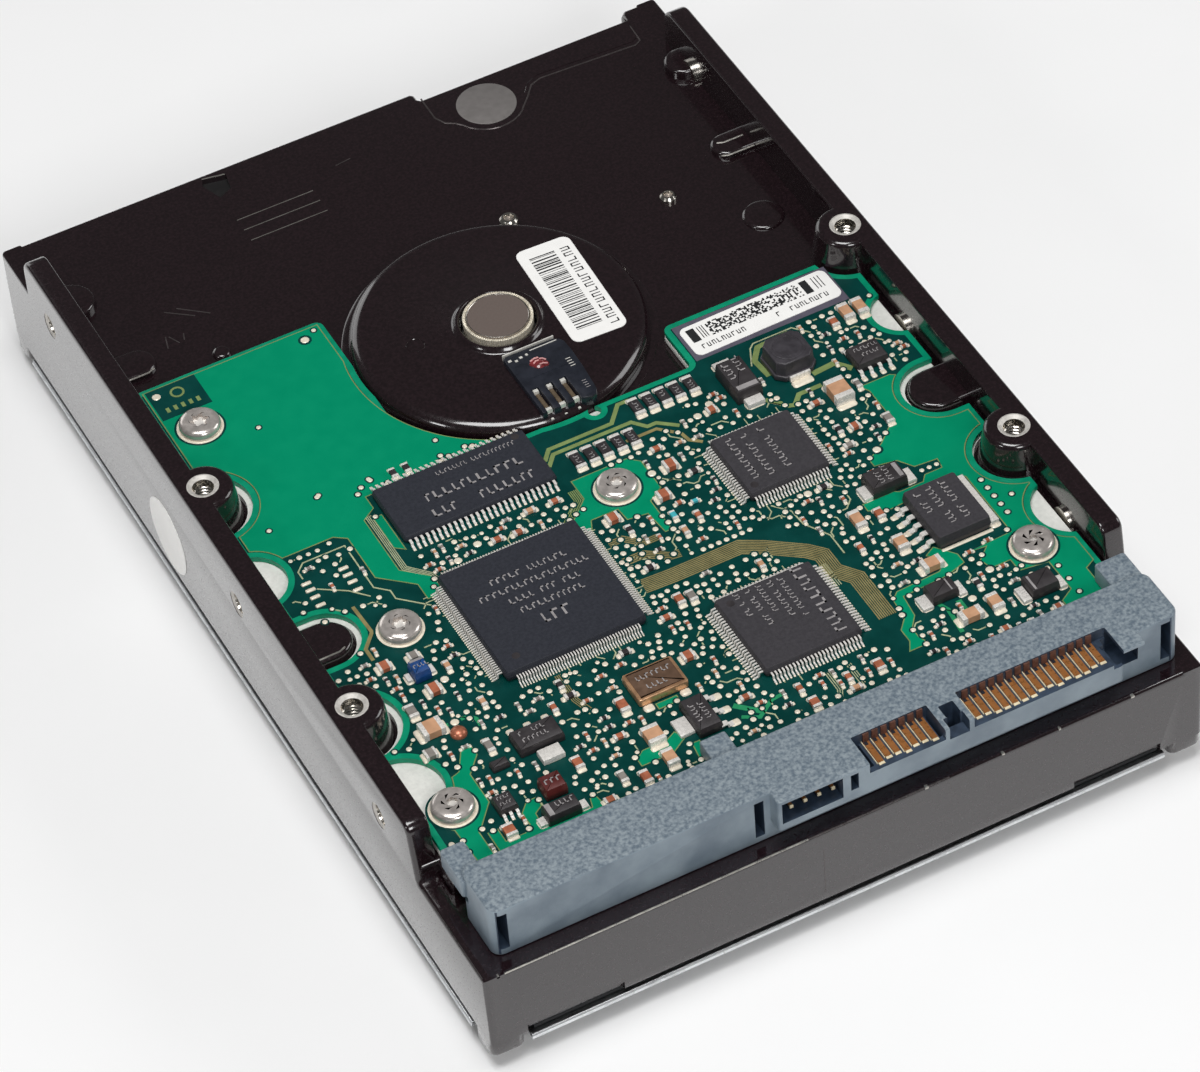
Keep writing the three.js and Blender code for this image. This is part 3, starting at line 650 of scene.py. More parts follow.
def build_casting():
    shell = solid(casting_body)
    parts = [solid(ledge_body), solid(spindle_disc)]
    parts += [solid(side_wall, side) for side in (-1, 1)]
    parts += [solid(boss, side, y) for side in (-1, 1) for y in BOSS_Y]
    parts += [solid(foot, sx, sy) for sx in (-1, 1) for sy in (-1, 1)]
    pads = [
        (pill(-EMBED_X, -44.2, -16.7, 3.6), BOARD_TOP), (pill(44.6, EMBED_X, -17, 3.9), BOARD_TOP),
        (pill(-EMBED_X, -43.8, 43.2, 2.8), PLATE_Z + 0.9), (pill(44.5, EMBED_X, 40.4, 2.5), PLATE_Z + 0.9),
        (pill(-EMBED_X, -46.8, 58.4, 3.6), PLATE_Z + 1.4), (pill(47.4, EMBED_X, 58.4, 3.0), PLATE_Z + 1.4),
        (circle(42.2, 25.6, 3.2, 40), PLATE_Z + 0.45),
        (circle(-33, 39.6, 1.5, 28), PLATE_Z + 0.6),
    ]
    parts += [solid(casting_pad, clipped(loop), top) for loop, top in pads]
    parts += [solid(casting_pad, circle(x, y, 3, 32), BOARD_LOW[2] - 0.1, 0.2) for x, y in BOARD_SCREWS]
    combine(shell, parts, "UNION")
    cutters = [solid(cavity_cutter), solid(bay_cutter)]
    cutters += [solid(hole, side * BOSS_X, y, 1.95, PLATE_Z + 0.6, RAIL_TOP + 1) for side in (-1, 1)
                for y in BOSS_Y]
    for side in (-1, 1):
        for y in SIDE_Y:
            cutters.append(solid(lathe, (y, SIDE_Z), [(0, -1), (1.85, -1), (1.85, 3), (0, 3)], segments=36,
                                 turn=lambda u, v, w, s=side: (s * (HALF_W - w), u, v)))
    cutters += [solid(hole, x, y, 1.6, 0, 11.2, 24) for x, y in COVER_SCREWS]
    cutters += [solid(hole, x, y, 1.45, PLATE_Z - 2.1, 40, 24) for x, y in BOARD_SCREWS]
    cutters += [solid(prism, rounded(x0, x1, -80, -72.7, 0.6), 0, 6) for x0, x1 in ((-45.7, -32.3), (31.9, 44.6))]
    cutters += [
        solid(prism, PIT_OUTLINE, PLATE_Z - 1.8, PLATE_Z + 2),
        solid(prism, rounded(*FLEX_PASSAGE, 0.6), 10, 30),
        solid(hole, *SPINDLE, 5.2, 3, 40, 48),
    ]
    combine(shell, cutters, "DIFFERENCE")
    shell.name = "casting_shell"
    finish_piece(shell, replaces=["base_casting"], sharp=40)


def threaded_sleeve(shape, centre, depth, turn, top):
    """A threaded hole's bright wall: a countersink, then turns of thread, then an end painted near-black as shade.
    """
    profile = [(0, top - depth), (1.3, top - depth)]
    pitch, root, crest = 0.55, 1.62, 1.28
    for n in range(int((depth - 0.9) / pitch)):
        z = top - depth + 0.3 + n * pitch
        profile += [(root, z + pitch * 0.25), (root, z + pitch * 0.35)]
        profile += [(crest, z + pitch * 0.75), (crest, z + pitch * 0.85)]
    rim = len(profile)
    profile += [(1.45, top - 0.3), (1.95, top + 0.01), (2.14, top), (2.14, top - 0.2)]
    profile += [(2.06, top - 0.3), (2.06, top - depth - 0.2), (0, top - depth - 0.2)]
    # Slot 1, the hole's end, takes the near-black of painted shade.
    slots = [1] + [0] * (len(profile) - 2)
    slots[rim] = slots[rim + 1] = 2
    lathe(shape, centre, profile[::-1], slots[::-1], segments=40, turn=turn)


def build_holes():
    bright = Shape()
    for side in (-1, 1):
        for y in BOSS_Y:
            threaded_sleeve(bright, (side * BOSS_X, y), 5.2, along_z, RAIL_TOP + 0.01)
        for y in SIDE_Y:
            def outward(u, v, w, s=side):
                return (s * w, u * s, v)
            threaded_sleeve(bright, (side * y, SIDE_Z), 3.4, outward, HALF_W - 0.02)
    make("mounting_threads", bright, [BRIGHT_STEEL, SHADOW_BLACK, THREAD_RING])


def casting_marks_highlights_and_shade():
    """Fine raised lines, dents and pins on the floor of the casting, with painted highlights along the ledge's edges
    and the pads' front edges and painted shade in the pit.
    """
    lines = Shape()
    z = PLATE_Z
    contour = (
        [(12.7, 71.6), (12.6, 67.0), (13.4, 65.3), (14.6, 64.5)]
        + arc(20.1, 65.9, 5.3, 205, 325, 10)
        + [(25.8, 64.3), (27.3, 66.2), (29.0, 66.8), (43.8, 66.0), (44.8, 66.6), (45.0, 70.0)]
    )
    tube(lines, [(x, y, z - 0.02) for x, y in contour], 0.13, 2, 6)
    tube(lines, [(x, y + 0.9, z - 0.03) for x, y in contour[-6:]], 0.1, 0, 6)
    tube(lines, [(-46.9, y, z + 0.05) for y in (38, 50, 58)], 0.15, 0, 6)
    for y in (57.8, 60.15, 62.45):
        strip(lines, [(-20.1, y), (-8.5, y)], 0.13, z - 0.1, z + 0.03, 1)
    tube(lines, [(x, y, z + 0.02) for x, y in arc(-11, 24.7, 1.2, 0, 350, 20)], 0.12, 0, 6)
    tube(lines, [(x, y, DISC_TOP) for x, y in arc(-11, 24.7, 1.25, 0, 350, 20)], 0.09, 0, 6)
    for x0, y0, x1, y1 in ((-38.8, 44.3, -38.2, 46.5), (-37.8, 46.3, -37.0, 44.5), (-36.2, 44.7, -35.8, 45.9),
                           (-36.4, 51, -33, 48.2), (-34.6, 50.8, -31, 47.6), (-3.6, 65.4, -1.2, 65.7)):
        strip(lines, [(x0, y0), (x1, y1)], 0.18, z - 0.1, z + 0.03, 2)
    strip(lines, [(-20.8, 72.62), (-17.6, 71.95)], 0.2, z - 0.2, z + 0.02, 1)
    # Painted highlight: a bright tube along the ledge's rounded front edge, then a fainter one, and a faint one
    # along the ledge's left edge.
    edge = [(x, 0.16 - HALF_L, LEDGE_Z - 0.14) for x in (-49.0, -20.0, -6.0)]
    tube(lines, edge, 0.13, 1, 6)
    tube(lines, [edge[-1], (14.0, *edge[-1][1:])], 0.11, 2, 6)
    tube(lines, [(-RAIL_INNER - 2.9, y, LEDGE_Z - 0.12) for y in (-72.8, -64.0, RAIL_END_Y - 1)], 0.09, 2, 6)
    # Painted glints: short bright blocks on the ledge's front edge.
    for x, long in ((-49.0, 0.4), (10.5, 0.5), (21.5, 0.4), (29.7, 0.3), (40.2, 0.5)):
        block(lines, x, x + long, -HALF_L, 0.5 - HALF_L, LEDGE_Z - 0.35, LEDGE_Z + 0.03, 1, edge=0.1)
    block(lines, -4.03, -3.95, -HALF_L - 0.02, -HALF_L + 0.2, 6.0, 14.0, 2)
    # Painted shade: a near-black slab on the pit's floor.
    prism(lines, PIT_OUTLINE, z - 1.9, z - 0.9, 3)
    # Painted highlights: bright tubes along the front edges of four pads.
    for x0, x1, y, height in ((-46.4, -43.2, 40.6, z + 0.8), (-47.2, -43.6, -19.5, BOARD_TOP + 0.02)):
        tube(lines, [(x0, y, height), (x1, y, height), (x1 + 0.9, y + 0.4, height)], 0.13, 1, 6)
    for x0, x1, y, height in ((43.6, 47.6, 38.1, z + 0.75), (44.2, 47.2, 40.6, z + 0.9)):
        tube(lines, [(x0 - 0.9, y + 0.4, height), (x0, y, height), (x1, y, height)], 0.13, 1, 6)
    make("casting_marks_highlights_and_shade", lines, [BLACK_COAT, BRIGHT_LINES_AND_HIGHLIGHTS, GREY_LINES_AND_FAINT_HIGHLIGHTS, SHADOW_BLACK])
    pins = Shape()
    for (x, y), radius, top in (((11.4, 41.6), 1.3, 1.9), ((32.7, 35.4), 1.15, 0.8)):
        rim, dimple = radius * 0.55, radius * 0.45
        lathe(pins, (x, y), [(0, z - 0.5), (radius, z - 0.5)] + above(z + top, [
            (radius, -0.35), (radius - 0.3, 0), (rim, 0), (dimple, -0.35), (0, -0.45),
        ]), [0, 0, 0, 0, 0, 1], segments=32)
    make("locating_pins", pins, [BRIGHT_STEEL, SATIN_STEEL])


build_casting()
build_holes()
casting_marks_highlights_and_shade()


def build_cap():
    """The bearing's end cap with the bright knurled ring round it."""
    top = CAP_HIGH[2] + 0.95
    radius, teeth, outer, inner = 4.3, 96, 4.78, 4.4
    cap = Shape()
    face = above(top, [(radius, -0.25), (4.25, -0.05), (4.15, -0.02), (4.1, -0.06), (0, -0.06)])
    lathe(cap, SPINDLE, [(0, CAP_LOW[2]), (radius, CAP_LOW[2])] + face, [0, 0, 0, 1, 1, 2], segments=72)
    make("bearing_cap_face", cap, [SATIN_STEEL, BRIGHT_STEEL, CAP_GREY],
         replaces=["bearing_cap"])
    ring = Shape()
    for k in range(teeth):
        a0, a1 = (360 / teeth * (k + s) for s in (0.08, 0.92))
        loop = arc(*SPINDLE, outer, a0, a1, 1) + arc(*SPINDLE, inner, a1, a0, 1)
        prism(ring, loop, CAP_LOW[2], top - 0.12, 0, high=0.08, steps=1)
    lathe(ring, SPINDLE, [(4.35, CAP_LOW[2]), (4.7, CAP_LOW[2]), (4.7, top - 0.25), (4.35, top - 0.25)],
          0, segments=72, closed=True)
    make("bearing_ring", ring, [KNURL_BRIGHT])


build_cap()

# ---------------------------------------------------------------- cover, gasket and their screws

COVER_TOP = box_mm("top_cover")[1][2]
COVER_SHEET = 0.9
FLANGE_Z = COVER_TOP - COVER_SHEET       # outer face of the cover's flange
CORNER = 5.5


def cover_outline(in_by):
    """The cover's edge: stepped back round the casting's four feet and along its back."""
    x, y, c = HALF_W - in_by, HALF_L - in_by, CORNER
    loop = [(-x + c, -y)]
    loop += [(x - c, -y)] + arc(x - c + 1.2, -y + c - 1.2, 1.2, 180, 90, 3) + [(x, -y + c)]
    loop += [(x, y - c)] + arc(x - c + 1.2, y - c + 1.2, 1.2, -90, -180, 3)
    loop += [(x - c, STEP_Y - in_by), (STEP_X0 - in_by, STEP_Y - in_by), (STEP_X0 - in_by, y)]
    loop += [(-x + c, y)] + arc(-x + c - 1.2, y - c + 1.2, 1.2, 0, -90, 3) + [(-x, y - c)]
    loop += [(-x, -y + c)] + arc(-x + c - 1.2, -y + c - 1.2, 1.2, 90, 0, 3)
    return loop


def plateau_outline(in_by):
    """The cover's pressed tray, with cut corners."""
    x, y, c = 42 - in_by, 68 - in_by, 9.0
    return [(-x + c, -y), (x - c, -y), (x, -y + c), (x, y - c), (x - c, y), (-x + c, y), (-x, y - c), (-x, -y + c)]


def build_cover():
    cover = solid(prism, cover_outline(0.02), FLANGE_Z, COVER_TOP, material=COVER_STEEL, low=0.3, high=0.15)
    combine(cover, [solid(prism, plateau_outline(0), 0, FLANGE_Z + 0.5, low=1.1, steps=5)], "UNION")
    cutters = [
        solid(prism, plateau_outline(COVER_SHEET), COVER_SHEET, 9),
        solid(hole, *PIVOT, 4.6, -1, 1.5),
        solid(hole, *PIVOT, 1.7, -1, 10),
    ]
    cutters += [solid(hole, *at, 1.7, -1, 10, 24) for at in COVER_SCREWS]
    combine(cover, cutters, "DIFFERENCE")
    dimple = [(4.6, 0.9), (5.6, 0.9), (5.6, 2.5), (1.7, 2.5), (1.7, 1.5), (4.6, 1.5)]
    combine(cover, [solid(lathe, PIVOT, dimple, segments=48, closed=True)], "UNION")
    cover.name = "cover_shell"
    finish_piece(cover, replaces=["top_cover"], sharp=40)
    ribs_and_hem = Shape()
    for radius in (38.5, 30.0):
        points = [(x, y, 0.22) for x, y in arc(0.5, 20, radius, 200, 340, 40)]
        tube(ribs_and_hem, points, 0.22, 0, 6)
    tube(ribs_and_hem, [(x, y, 0.22) for x, y in arc(*PIVOT, 9.5, 0, 357, 40)], 0.22, 0, 6)
    lathe(ribs_and_hem, (0.5, 20), [(0, 0.4), (1.6, 0.4), (1.6, 0.1), (1.2, 0.02), (0, 0.02)][::-1], segments=32)
    # Painted highlight: a near-white tube along the cover's flange edge.
    hem = cover_outline(0.06)
    tube(ribs_and_hem, [(x, y, FLANGE_Z + 0.32) for x, y in hem + hem[:2]], 0.2, 1, 6)
    make("cover_ribs_and_hem_highlight", ribs_and_hem, [COVER_STEEL, HEM_HIGHLIGHT])
    gasket = Shape()
    low, high = box_mm("cover_gasket")
    inner = [(x * 1.08, y * 1.02) for x, y in plateau_outline(0)]
    prism(gasket, [cover_outline(0.75), inner], low[2], high[2], low=0.12, high=0.12)
    obj = mesh_object("gasket_bead", gasket, [RUBBER])
    cutters = [solid(hole, *SPINDLE, 48.4, 0, 9, 96)] + [solid(hole, *at, 2, 0, 10, 24) for at in COVER_SCREWS]
    combine(obj, cutters, "DIFFERENCE")
    finish_piece(obj, replaces=["cover_gasket"])


def star(cx, cy, outer, inner, spin):
    """The outline of a six-lobed recess."""
    lobes, points = 6, 48
    loop = []
    for k in range(points):
        a = math.radians(spin) + 2 * math.pi * k / points
        wave = (1 + math.cos(lobes * a)) / 2
        radius = inner + (outer - inner) * wave
        loop.append((cx + radius * math.cos(a), cy + radius * math.sin(a)))
    return loop


def pan_screw(name, node, up, metal, spin):
    """A pan-head screw with a washer face, a domed head, a six-lobed recess and a threaded shank."""
    low, high = box_mm(node)
    cx, cy = centre_of(node)
    radius = (high[0] - low[0]) / 2
    length = high[2] - low[2]

    def turn(u, v, w):
        return (u, v, high[2] - w if up else low[2] + w)

    head = min(1.35, length * 0.4)
    shape = Shape()
    outline = [(0, length), (0.5, length), (0.85, length - 0.6)]
    pitch, shank = 0.7, 1.1
    w = length - 0.7
    while w > head + 0.5:
        outline += [(shank, w), (shank - 0.2, w - pitch / 2)]
        w -= pitch
    outline += [(shank, head), (radius * 0.96, head), (radius, head - 0.12)]
    outline += [
        (radius * 0.995, head * 0.45), (radius * 0.96, head * 0.26), (radius * 0.88, head * 0.12),
        (radius * 0.76, 0.03), (radius * 0.6, 0.0), (radius * 0.5, 0.0),
    ]
    lathe(shape, (cx, cy), outline, segments=44, turn=turn)
    recess_outer, recess_inner, depth = radius * 0.52, radius * 0.3, head * 0.5
    rim = circle(cx, cy, radius * 0.5, 48)
    lobes = star(cx, cy, recess_outer * 0.98, recess_inner, spin)
    core = [(cx + (x - cx) * 0.8, cy + (y - cy) * 0.8) for x, y in lobes]
    rings = [[turn(x, y, w) for x, y in loop] for loop, w in ((rim, 0.0), (lobes, 0.04), (core, depth))]
    starts = shape.rings(rings, 0)
    # The recess floor is painted near-white as a highlight.
    shape.face(range(starts[-1], starts[-1] + len(core)), 1, True)
    make(name, shape, [metal, RECESS_HIGHLIGHT], replaces=[node], sharp=30)


build_cover()
for n in range(1, 7):
    pan_screw(f"cover_screw_{n}_head", f"cover_screw_{n}", False, BRIGHT_STEEL, spin=n * 17)
pan_screw("pivot_screw_head", "pivot_cover_screw", False, BRIGHT_STEEL, spin=10)
for n in range(1, 6):
    pan_screw(f"board_screw_{n}_head", f"board_screw_{n}", True, HEAD_PLATE, spin=n * 23 + 8)

# ---------------------------------------------------------------- moving and hidden parts carried from the frame

CARRIED = {
    "bearing_sleeve": GROUND_STEEL, "stator_core": LAMINATED, "stator_windings": COPPER_WIRE,
    "spindle_shaft": GROUND_STEEL, "spindle_hub": ALUMINIUM, "rotor_magnet": NICKEL, "platter_lower": MIRROR,
    "platter_spacer": ALUMINIUM, "platter_upper": MIRROR, "disk_clamp": BRIGHT_STEEL, "clamp_screw": BRIGHT_STEEL,
    "actuator_arm": ALUMINIUM, "pivot_shaft": GROUND_STEEL, "pivot_bearing_lower": GROUND_STEEL,
    "pivot_bearing_upper": GROUND_STEEL, "voice_coil": COPPER_WIRE, "head_suspension_1": SPRING_STEEL,
    "head_suspension_2": SPRING_STEEL, "head_suspension_3": SPRING_STEEL, "head_suspension_4": SPRING_STEEL,
    "flex_cable": AMBER, "flex_connector": BLACK_PLASTIC, "vcm_lower_yoke": NICKEL, "vcm_lower_magnet": NICKEL,
    "vcm_upper_magnet": NICKEL, "vcm_upper_yoke": NICKEL, "yoke_post_1": GROUND_STEEL, "yoke_post_2": GROUND_STEEL,
    "latch_pin": GROUND_STEEL, "actuator_latch": BLACK_PLASTIC, "recirculation_filter": FLEECE,
}
for node, material in CARRIED.items():
    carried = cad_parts[node]
    carried.data.materials.clear()
    carried.data.materials.append(material)
    soften(carried)

# ---------------------------------------------------------------- circuit board

TIN = finish("tinned_metal", srgb(240, 230, 210), 0.35, metallic=0.15, spread=0.07, scale=1500)
LEAD_TIN = finish("lead_tin", srgb(242, 238, 232), 0.28, metallic=0.3, spread=0.07, scale=2500)
EDGE_GREEN = finish("laminate_edge", srgb(0, 142, 106), 0.35, spread=0.1, scale=700, specular=0.3)
DARK_MASK = finish("dark_solder_mask", srgb(0, 60, 56), 0.35, spread=0.15, scale=300, specular=0.2)
POUR_GREEN = finish("copper_pour_mask", srgb(0, 140, 101), 0.35, spread=0.03, scale=400, specular=0.12)
OLIVE = finish("trace_olive", srgb(126, 144, 88), 0.35, spread=0.12)
GOLD_TRACE = finish("trace_gold", srgb(140, 128, 84), 0.35, spread=0.15)
LIGHT_TRACE = finish("trace_light", srgb(172, 178, 142), 0.35, spread=0.15)
LEAF_TRACE = finish("trace_leaf", srgb(34, 140, 92), 0.35, spread=0.1)
MOULDING = dict(spread=0.1, scale=2500, grain=0.4, grain_scale=6000, specular=0.3)
EPOXY = finish("chip_epoxy", srgb(60, 58, 62), 0.5, **MOULDING)
EPOXY_COOL = finish("chip_epoxy_cool", srgb(44, 46, 54), 0.5, **MOULDING)
EPOXY_DARK = finish("part_epoxy", srgb(50, 46, 48), 0.42, spread=0.12, grain=0.3)
MARKING = finish("marking_ink", srgb(150, 146, 146), 0.6, spread=0.15)
CERAMIC_TAN = finish("ceramic_tan", srgb(198, 152, 118), 0.4, spread=0.1)
CERAMIC_BROWN = finish("ceramic_brown", srgb(168, 98, 70), 0.4, spread=0.2)
CERAMIC_GREY = finish("ceramic_grey", srgb(134, 128, 122), 0.45, spread=0.15)
CYAN_PART = finish("part_cyan", srgb(70, 180, 190), 0.4)
BLUE_PART = finish("part_blue", srgb(24, 70, 130), 0.35, spread=0.2)
MAROON_PART = finish("part_maroon", srgb(88, 36, 34), 0.35, spread=0.15)
FERRITE = finish("ferrite_black", srgb(58, 55, 60), 0.4, spread=0.2, grain=0.5)
COPPER_DOT = finish("copper_dot", srgb(178, 110, 84), 0.3, metallic=0.5, spread=0.2)
LABEL_WHITE = finish("label_paper", srgb(250, 249, 246), 0.5, spread=0.01)
LABEL_INK = finish("label_ink", srgb(22, 24, 26), 0.6, spread=0.1)
BARE_GREY = finish("legend_field", srgb(88, 84, 98), 0.5, spread=0.06)
FOAM = finish("white_foam", srgb(228, 228, 222), 0.85, spread=0.05, scale=1500, grain=0.8, grain_scale=3000)
CRYSTAL_TOP = finish("crystal_can", srgb(122, 96, 78), 0.35, metallic=0.5, spread=0.1)
CRYSTAL_EDGE = finish("crystal_edge", srgb(216, 170, 130), 0.3, metallic=0.7)
GLUE = finish("glue_red", srgb(120, 44, 48), 0.2, spread=0.3, coat=0.5)

BOARD_LEFT, BOARD_RIGHT = BOARD_LOW[0], BOARD_HIGH[0]
BOARD_FRONT, BOARD_BACK = BOARD_LOW[1], BOARD_HIGH[1]
BOARD_OUTLINE = (
    [(BOARD_LEFT, BOARD_FRONT), (BOARD_RIGHT, BOARD_FRONT), (BOARD_RIGHT, 9.2), (44.0, 11.6)]
    + arc(20.1, 10.4, 1.1, 90, 180, 4) + arc(18.2, 3.8, 0.8, 0, -90, 4)
    + [(-19.6, 3.0)] + arc(-20.7, BOARD_BACK - 1.1, 1.1, 0, 90, 4)
    + arc(BOARD_LEFT + 1.1, BOARD_BACK - 1.1, 1.1, 90, 180, 4)
)
# Round notches in the board's edge: centre and radius.
NOTCHES = [
    (-47.6, 12.2, 6), (-47.6, -32.2, 6), (47.6, 12.2, 5.2), (47.6, -32.2, 5.4),
    (-48.2, -2.9, 4.7), (-47.2, -44.6, 5.5), (48.2, -1.9, 4.2), (49.2, -44.2, 5.4),
]
SURFACE = BOARD_TOP                      # height of the outer copper


def board_cutters(grow, z0, z1):
    cutters = [solid(hole, x, y, r + grow, z0, z1, 64) for x, y, r in NOTCHES]
    cutters.append(solid(hole, 4.1, 2.2, 0.9 + grow, z0, z1, 24))
    cutters.append(solid(prism, pill(-56, -44.4, -16.7, 4.7 + grow, 24), z0, z1))
    cutters.append(solid(prism, pill(44.9, 56, -17, 4.9 + grow, 24), z0, z1))
    cutters.append(solid(hole, *SPINDLE, DISC_R + 1 + grow, z0, z1, 160))
    return cutters


def board_layer(in_by, z0, z1, material, low=0.0, high=0.0):
    """A sheet with the board's outline and notches, both moved inwards."""
    layer = solid(prism, inset(BOARD_OUTLINE, in_by), z0, z1, material=material, low=low, high=high, steps=2)
    return combine(layer, board_cutters(in_by, z0 - 1, z1 + 1), "DIFFERENCE")


# Areas of bright copper pour, chosen corner by corner.
POURS = [
    [(-46, 35.9), (-20.4, 35.9), (-20.4, 20), (-8, 16), (-6, 3.6), (-28.9, 3.6), (-28.9, 1.2), (-30.9, -0.2),
     (-30.9, -10.6), (-27.6, -13.8), (-27.6, -16.9), (-29.8, -16.9), (-29.8, -14), (-34, -10.1), (-34, -2),
     (-35.6, -0.8), (-43.8, -0.8), (-46, 0.7)],
    [(-29.6, -0.5), (-28.5, -0.5), (-28.5, -7.5), (-29.6, -6.6)],
    [(-4.5, -7.9), (3.5, -7.9), (4.9, -9.2), (4.9, -14.7), (2.6, -16.2), (2.6, -22), (1.8, -22), (1.4, -18),
     (-1.4, -17.6), (-1.6, -15.3), (-5.6, -15.3), (-6.3, -16.9), (-7.4, -16.9), (-8.1, -14.9), (-4.5, -11.5)],
    [(36.2, -12), (40.6, -12), (46.1, -16), (46.1, -54.4), (44.6, -55.2), (44.6, -61.5), (39.2, -61.5),
     (39.2, -58.6), (41.2, -57.4), (41.2, -51.8), (37.2, -51.2), (37.2, -49), (34.4, -49), (33.9, -47.2),
     (35.9, -45.4), (33, -45.2), (39.8, -44.9), (39.8, -33.2), (31.5, -33.2), (28.4, -33.4), (25.9, -32.2),
     (25.9, -31), (30.4, -31), (31, -31.4), (34.6, -31.4), (35.4, -30.4), (38, -30.4), (38.3, -28.6), (35, -28.3),
     (33.6, -26.2), (30.6, -25.6), (30.6, -24.4), (33.5, -22.5), (36.9, -19.4), (36.9, -13.2)],
    [(-42.9, -43.4), (-41.8, -43.4), (-41.2, -45.9), (-39.6, -45.4), (-37.6, -42), (-36.5, -42), (-36.5, -43.9),
     (-38.7, -46.4), (-38.7, -51.6), (-41.2, -54.6), (-42, -55.4), (-42, -61.5), (-44, -61.5), (-44.3, -53.6),
     (-45.6, -52.4), (-45.6, -48.6), (-43.6, -47)],
    [(-41, -56.2), (-39.8, -56.2), (-39.8, -58.5), (-37, -58.5), (-35.9, -57.9), (-35.9, -55.4), (-34.6, -54),
     (-33.4, -54), (-33.4, -55.4), (-34.6, -56.2), (-34.8, -58.2), (-33.8, -58.9), (-28, -59), (-27.6, -57.6),
     (-26.9, -57.6), (-26.6, -59.4), (-24, -59.5), (-24, -60.5), (-41, -60.5)],
    [(-19.6, -54.8), (-18.4, -53.9), (-15, -53.9), (-13.6, -53.2), (-13, -54.6), (-15.2, -56), (-19.6, -56)],
    [(-19, -59.9), (-13.4, -59.9), (-13.4, -61.5), (-20.2, -61.5)],
    [(-12.5, -56), (-11.6, -56), (-11.8, -59), (-12.4, -61.5), (-13.2, -61.5)],
    [(29.8, -42.2), (31.8, -44.8), (31.8, -46.4), (29.8, -47), (28.6, -47.3), (22.2, -47.6), (21.8, -51.2),
     (20.4, -53), (20.4, -54.8), (21, -56.2), (18.4, -56.2), (19.2, -54.8), (19.2, -52.6), (20.6, -51),
     (20.9, -47.6), (22, -46.6), (28.4, -46.3), (29.2, -45.6), (29.4, -44), (28.4, -43)],
    [(-13.3, -47.9), (-10.5, -47.9), (-10.5, -48.7), (-13.3, -48.7)],
    [(-24.4, 4.0), (-12, 4.0), (-11, 4.6), (-24.4, 4.6)],
]


def inside(x, y, loop):
    hit = False
    for (x0, y0), (x1, y1) in zip(loop, loop[1:] + loop[:1]):
        if (y0 > y) != (y1 > y) and x < (x1 - x0) * (y - y0) / (y1 - y0) + x0:
            hit = not hit
    return hit


def build_board():
    edge = board_layer(0.0, BOARD_LOW[2], SURFACE - 0.07, EDGE_GREEN, low=0.08, high=0.08)
    cutters = [solid(hole, x, y, 1.5, 18, 25, 24) for x, y in BOARD_SCREWS]
    combine(edge, cutters, "DIFFERENCE")
    edge.name = "board_laminate"
    finish_piece(edge, replaces=["circuit_board"], sharp=40)
    mask = board_layer(0.85, SURFACE - 0.5, SURFACE - 0.045, DARK_MASK)
    mask.name = "board_mask"
    finish_piece(mask, sharp=40)
    for name, grow, top, material in (("board_pour_rim", 0.14, -0.02, OLIVE), ("board_pour", 0.0, 0.0, POUR_GREEN)):
        areas = Shape()
        for loop in POURS:
            whole = loop if signed_area(loop) > 0 else loop[::-1]
            prism(areas, inset(whole, -grow), SURFACE - 0.3, SURFACE + top)
        pour = mesh_object(name, areas, [material])
        combine(pour, board_cutters(1.05 - grow, SURFACE - 1, SURFACE + 1), "DIFFERENCE")
        finish_piece(pour, sharp=40)


build_board()


def build_foam():
    low, high = box_mm("foam_pad")
    outline = [(x, max(y, low[1])) for x, y in BOARD_OUTLINE]
    sheet = solid(prism, outline, low[2], high[2], material=FOAM, high=0.2, low=0.1)
    through = (18, 23)
    passage = rounded(0.4, 16.6, -31.8, -26.2, 0.5)
    cutters = [solid(hole, x, y, 5.25, *through, 48) for x, y, _ in NOTCHES[:4]]
    cutters += [
        solid(prism, pill(-56, -44.4, -16.7, 4.0, 20), *through),
        solid(prism, pill(44.9, 56, -17, 4.25, 20), *through),
        solid(hole, *SPINDLE, DISC_R + 1, *through, 96), solid(prism, passage, *through),
    ]
    cutters += [solid(hole, x, y, 3.3, *through, 32) for x, y in BOARD_SCREWS]
    combine(sheet, cutters, "DIFFERENCE")
    sheet.name = "foam_sheet"
    finish_piece(sheet, replaces=["foam_pad"], sharp=40)


build_foam()

# ---------------------------------------------------------------- what stands on the board

dice = random.Random(35)
CELL = 0.25              # the grid on which places are marked as taken
taken = set()


def cells(x0, x1, y0, y1):
    for i in range(math.floor(x0 / CELL), math.ceil(x1 / CELL)):
        for j in range(math.floor(y0 / CELL), math.ceil(y1 / CELL)):
            yield i, j


def reserve(x0, x1, y0, y1, margin=0.15):
    taken.update(cells(x0 - margin, x1 + margin, y0 - margin, y1 + margin))


def is_free(x0, x1, y0, y1, margin=0.1):
    return taken.isdisjoint(cells(x0 - margin, x1 + margin, y0 - margin, y1 + margin))


BAR_EDGE_Y = -61.6               # where the connector bar begins to cover the board
SIDE_NOTCH_Y, SIDE_NOTCH_HALF = -16.8, 5


